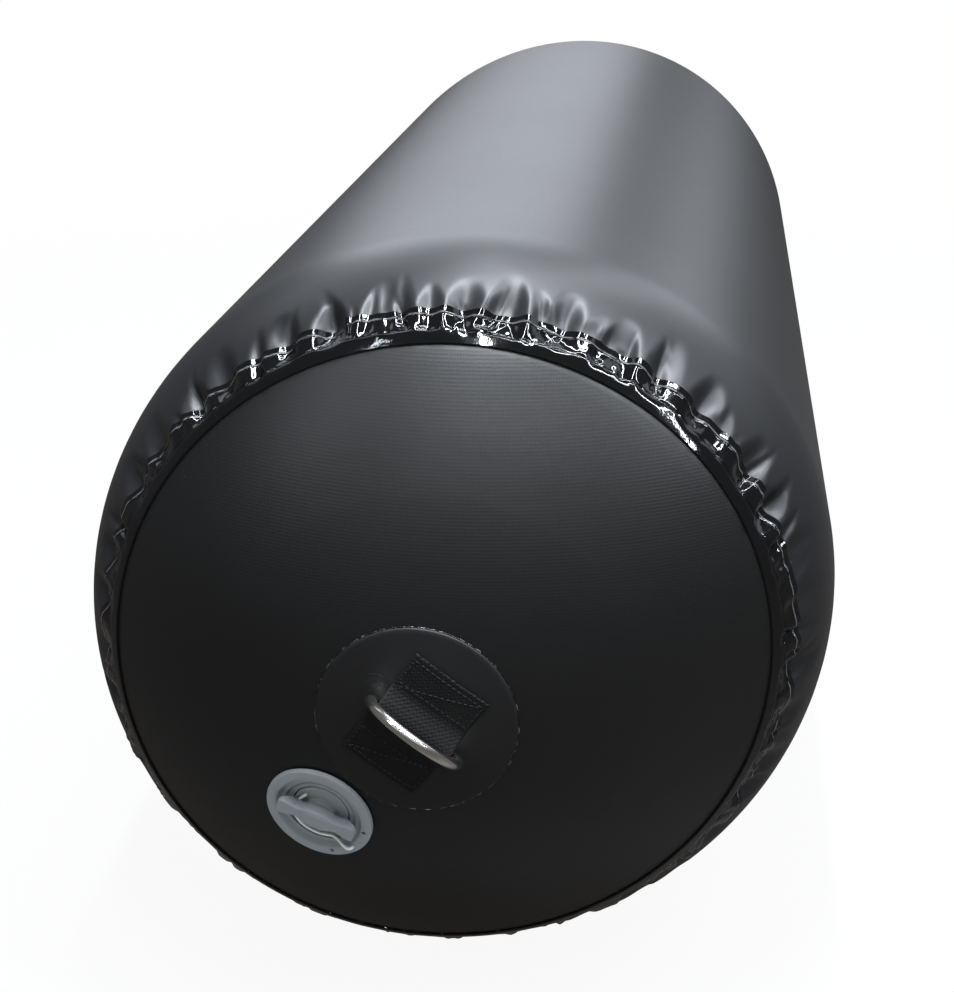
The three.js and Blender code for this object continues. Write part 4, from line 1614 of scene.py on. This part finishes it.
        def draw_out(points: np.ndarray) -> np.ndarray:
            """Gives each ring of the sphere the bar's section at its station."""
            station = np.arcsin(np.clip(points[:, 2], -1, 1)) / (math.pi / 2)
            turn = np.arctan2(points[:, 1], points[:, 0])
            far = np.abs(station)
            tip = np.clip(1 - np.clip((far - 0.86) / 0.14, 0, 1) ** 2.6, 0, 1) ** (1 / 2.6)
            to_boss = 1 - smoothstep(far, 0.12, 0.52)
            to_end = smoothstep(far, 0.5, 0.84)
            width = self.wing_neck_width
            width = width + (self.wing_boss_width - self.wing_neck_width) * to_boss
            width = width + (self.wing_end_width - self.wing_neck_width) * to_end
            section = (np.abs(np.cos(turn)) ** square + np.abs(np.sin(turn)) ** square) ** (-1 / square)
            side = np.cos(turn) * section * width / 2 * (0.12 + 0.88 * tip)
            level = np.sin(turn) * section
            rise = smoothstep(far * half, self.bore_radius - 2 * MM, half)
            under = self.wing_under + rise * (self.flange_top + 1.4 * MM - self.wing_under)
            over = self.wing_top - 0.9 * MM * (1 - to_boss - to_end) - 0.5 * MM * to_end
            plateau = np.hypot(station * half / (9.4 * MM), side / (4.8 * MM))
            over = over + 0.35 * MM * (1 - smoothstep(plateau, 0.93, 1.03)) * (level > 0.6)
            middle, reach = (over + under) / 2, (over - under) / 2 * (0.5 + 0.5 * tip)
            return np.c_[station * half, side, middle + level * reach]

        Bench.reshape(bar, draw_out)
        Bench.tidy(bar)
        bar.data.transform(Matrix.Rotation(self.wing_bearing, 4, "Z"))
        return bar

    def tether_route(self) -> np.ndarray:
        """Gives the tether's chosen points in the valve's frame: from its hole to its cut end."""
        chosen = (
            (19.66, -19.66, 1.75),
            (19.66, -19.66, 3.4),
            (19.55, -19.68, 5.0),
            (18.9, -19.8, 6.3),
            (17.4, -19.95, 6.8),
            (15.4, -19.95, 6.1),
            (13.0, -19.7, 4.7),
            (10.6, -19.2, 3.1),
            (8.2, -18.8, 1.8),
            (5.4, -18.6, 1.05),
            (2.2, -19.0, 0.9),
            (-1.2, -19.2, 0.9),
            (-4.6, -18.6, 0.9),
            (-8.0, -17.4, 0.9),
            (-11.2, -15.4, 0.9),
            (-13.8, -12.8, 0.9),
            (-15.4, -9.8, 1.0),
            (-16.1, -6.6, 1.15),
            (-16.0, -3.4, 1.2),
            (-15.2, -0.2, 1.2),
            (-13.8, 2.8, 1.2),
            (-12.0, 5.6, 1.2),
            (-9.9, 8.2, 1.2),
            (-7.6, 10.6, 1.2),
        )
        return np.array(chosen) * MM

    def make_tether(self) -> None:
        """Makes the white tether along its route."""
        route = self.tether_route()
        knots = np.r_[0, np.cumsum(np.linalg.norm(np.diff(route, axis=0), axis=1))]
        slopes = np.gradient(route, knots, axis=0)
        at = np.linspace(0, knots[-1], 150)
        spot = np.clip(np.searchsorted(knots, at, side="right") - 1, 0, len(knots) - 2)
        gap = (knots[spot + 1] - knots[spot])[:, None]
        t = (at[:, None] - knots[spot][:, None]) / gap
        line = (2 * t**3 - 3 * t**2 + 1) * route[spot] + (t**3 - 2 * t**2 + t) * gap * slopes[spot]
        line += (3 * t**2 - 2 * t**3) * route[spot + 1] + (t**3 - t**2) * gap * slopes[spot + 1]
        line = np.array([self.seat.place @ Vector(point) for point in line])
        tether = Bench.tube("tether_cord", line, self.tether_diameter / 2, 4)
        tether.data.materials.append(CORD.material())
        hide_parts("cap_tether")
        self.seat.place @ Vector(self.tether_rise)
        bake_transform(tether)

    def make_spring(self) -> None:
        """Winds the poppet's spring."""
        under, over = self.spring_span
        share = np.linspace(0, 1, 48 * self.spring_turns + 1)
        turn = FULL_TURN * self.spring_turns * share
        height = under + self.spring_wire / 2 + share * (over - under - self.spring_wire)
        line = np.c_[self.spring_radius * np.cos(turn), self.spring_radius * np.sin(turn), height]
        spring = Bench.tube("poppet_spring", line, self.spring_wire / 2)
        self.set_in(spring, SPRING_STEEL, "fender", "stainless", "valve_spring")
        press = joint("poppet_press")
        travel = max(press["range_m"])
        self.seat.place @ Vector((0, 0, under))
        1 - travel / (over - under)
        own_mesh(spring)

    def dress_inside(self) -> None:
        """Gives the parts inside the valve their materials."""
        finishes = {
            "valve_gasket": RUBBER,
            "poppet_seal": RUBBER,
            "cap_o_ring": RUBBER,
            "valve_nut": GREY,
            "valve_poppet": GREY,
            "spring_retainer": GREY,
        }
        for node, finish in finishes.items():
            part = frame["nodes"][node]
            part.data.materials.clear()
            part.data.materials.append(finish.material())


DAYLIGHT = (0.94, 0.99, 1.06)


@dataclass(frozen=True)
class Lamp:
    """A soft rectangular lamp on a sphere round the set; azimuth 0 is behind it, and 90 to its right."""

    name: str
    azimuth: float
    elevation: float
    width: float
    depth: float
    radiance: float
    color: tuple[float, float, float] = (1, 1, 1)
    distance: float = 2.6

    def make(self) -> None:
        """Hangs the lamp, with its width level and its depth upright or towards +Y."""
        aim = Vector((0, -0.15, 0.25))
        azimuth, elevation = math.radians(self.azimuth), math.radians(self.elevation)
        flat = math.cos(elevation)
        back = Vector((math.sin(azimuth) * flat, math.cos(azimuth) * flat, math.sin(elevation)))
        light = bpy.data.lights.new(self.name, "AREA")
        light.shape = "RECTANGLE"
        light.size, light.size_y = self.width, self.depth
        light.energy = self.radiance * math.pi * self.width * self.depth
        light.color = self.color
        lamp = bpy.data.objects.new(self.name, light)
        bpy.context.scene.collection.objects.link(lamp)
        upright = Vector((0, 0, 1)) if abs(back.z) < 0.95 else Vector((0, 1, 0))
        side = upright.cross(back).normalized()
        turned = Matrix((side, back.cross(side), back)).transposed().to_4x4()
        turned.translation = aim + back * self.distance
        lamp.matrix_world = turned
        lamp.visible_camera = False


@dataclass(frozen=True)
class Room:
    """Dim walls and a dim floor round the set, which only reflections show."""

    width: float = 12.0
    length: float = 12.0
    height: float = 7.0
    foot: float = 2 * MM
    wall_color: tuple[float, float, float] = (0.1, 0.102, 0.106)
    floor_color: tuple[float, float, float] = (0.085, 0.075, 0.066)

    @staticmethod
    def glow(name: str, color: tuple[float, float, float]) -> bpy.types.Material:
        """Makes a plain glowing material."""
        bench = ShaderBench(name)
        return bench.finish(base_color=(0, 0, 0, 1), emission_color=(*color, 1), emission_strength=1.0)

    def make(self) -> None:
        """Stands the walls round the set."""
        Bench.clear()
        bpy.ops.mesh.primitive_cube_add(size=1, location=(0, 0, self.foot + self.height / 2))
        walls = Bench.named("reflected_room")
        walls.data.transform(Matrix.Diagonal((self.width, self.length, self.height, 1)))
        walls.data.materials.append(self.glow("room_wall", self.wall_color))
        walls.data.materials.append(self.glow("room_floor", self.floor_color))
        for face in walls.data.polygons:
            face.material_index = int(face.normal.z < -0.5)
        walls.visible_camera = False
        walls.visible_diffuse = False
        walls.visible_shadow = False
        walls.visible_transmission = False


@dataclass(frozen=True)
class Studio:
    """The studio: camera, white floor and backdrop, and lamps."""

    lens: float = 61.15
    sensor: float = 36
    camera_place: tuple[float, float, float] = (0.13711, -1.38488, 0.68035)
    azimuth: float = 0.1317
    elevation: float = 0.385
    floor_size: float = 60
    floor_white: float = 0.93
    floor_fade: tuple[float, float] = (0.9, 2.2)
    lamps: tuple[Lamp, ...] = (
        Lamp("strip_left", -10, 78, 0.045, 2.4, 66, DAYLIGHT),
        Lamp("strip_right", 30, 68, 0.05, 2.6, 66, DAYLIGHT),
        Lamp("strip_front", 180, 80, 0.05, 1.6, 290, DAYLIGHT),
        Lamp("strip_side", 108, 66, 0.05, 1.6, 180, DAYLIGHT),
        Lamp("strip_low", 172, 44, 1.7, 0.05, 34, DAYLIGHT),
        Lamp("strip_low_right", 118, 44, 0.04, 1.6, 110, DAYLIGHT),
        Lamp("strip_low_left", 226, 42, 0.05, 1.6, 32, DAYLIGHT),
        Lamp("window_back", -11, 26, 2.3, 1.7, 3.35, DAYLIGHT, 4.2),
        Lamp("window_right", 27, 26, 1.0, 1.7, 3.9, DAYLIGHT, 4.2),
        Lamp("window_left", -45, 44, 1.6, 1.2, 1.2, DAYLIGHT),
        Lamp("wall_right", 62, 38, 1.4, 1.6, 1.0, DAYLIGHT),
        Lamp("soft_front", 190, 30, 2.4, 1.1, 0.4),
        Lamp("soft_side", 150, 30, 1.5, 1.5, 0.4),
    )

    def set_camera(self) -> None:
        """Sets the camera at the photograph's viewing angle."""
        data = bpy.data.cameras.new("camera")
        data.lens, data.sensor_width = self.lens, self.sensor
        camera = bpy.data.objects.new("camera", data)
        bpy.context.scene.collection.objects.link(camera)
        flat = math.cos(self.elevation)
        x, y = math.sin(self.azimuth) * flat, -math.cos(self.azimuth) * flat
        back = Vector((x, y, math.sin(self.elevation)))
        right = Vector((0, 0, 1)).cross(back).normalized()
        turned = Matrix((right, back.cross(right), back)).transposed().to_4x4()
        turned.translation = Vector(self.camera_place)
        camera.matrix_world = turned
        bpy.context.scene.camera = camera

    def lay_floor(self) -> None:
        """Lays the white floor, which keeps a soft shadow of the fender and is plain white far from it."""
        Bench.clear()
        bpy.ops.mesh.primitive_plane_add(size=self.floor_size)
        floor = Bench.named("floor")
        bench = ShaderBench("floor_white")
        tree = bench.tree
        path = bench.node("ShaderNodeLightPath").outputs
        seen = Wire(bench, path["Is Camera Ray"]) + Wire(bench, path["Is Glossy Ray"])
        seen = (seen + Wire(bench, path["Is Transmission Ray"])).maths("MINIMUM", 1.0)
        glow = bench.node("ShaderNodeEmission", {}, {"Color": (1, 1, 1, 1), "Strength": 1.0})
        bench.finish(base_color=(0.45, 0.45, 0.45, 1), roughness=0.9)
        x, y, _ = bench.axes()
        far = (x * x + y * y).maths("SQRT").ease(*self.floor_fade)
        white = far * (1 - self.floor_white) + self.floor_white
        mixed = bench.node("ShaderNodeMixShader", {}, {0: seen * white})
        tree.links.new(bench.shader.outputs[0], mixed.inputs[1])
        tree.links.new(glow.outputs[0], mixed.inputs[2])
        tree.links.new(mixed.outputs[0], tree.nodes["Material Output"].inputs[0])
        floor.data.materials.append(bench.material)

    def light_world(self) -> None:
        """Makes the backdrop white to the camera and a plain fill to the rest."""
        world = bpy.data.worlds.new("studio")
        bpy.context.scene.world = world
        world.use_nodes = True
        tree = world.node_tree
        background = tree.nodes["Background"]
        path = tree.nodes.new("ShaderNodeLightPath")
        total = path.outputs["Is Camera Ray"]
        for name in ("Is Glossy Ray", "Is Transmission Ray"):
            add = tree.nodes.new("ShaderNodeMath")
            add.operation = "MAXIMUM"
            tree.links.new(total, add.inputs[0])
            tree.links.new(path.outputs[name], add.inputs[1])
            total = add.outputs[0]
        strength = tree.nodes.new("ShaderNodeMapRange")
        strength.inputs["To Min"].default_value = 0.15
        strength.inputs["To Max"].default_value = 1.0
        tree.links.new(total, strength.inputs["Value"])
        tree.links.new(strength.outputs[0], background.inputs["Strength"])
        background.inputs["Color"].default_value = (1, 1, 1, 1)

    def make(self) -> None:
        """Builds the whole studio but for the camera."""
        scene = bpy.context.scene
        scene.view_settings.view_transform = "Standard"
        self.lay_floor()
        self.light_world()
        Room().make()
        for lamp in self.lamps:
            lamp.make()


def main() -> None:
    """Builds the fender piece by piece."""
    logging.basicConfig(level=logging.INFO, format="%(message)s")
    skin = Skin()
    seat = ValveSeat()
    studio = Studio()
    studio.set_camera()
    Valve(seat).make()
    LOG.info("made %s", Bag(skin, seat).make().name)
    LOG.info("made %s", LapStrip(skin).make().name)
    for end in End:
        LOG.info("made %s", SeamTape(skin, end).make().name)
        HangEye(skin, end).make()
    studio.make()


if __name__ == "__main__":
    main()
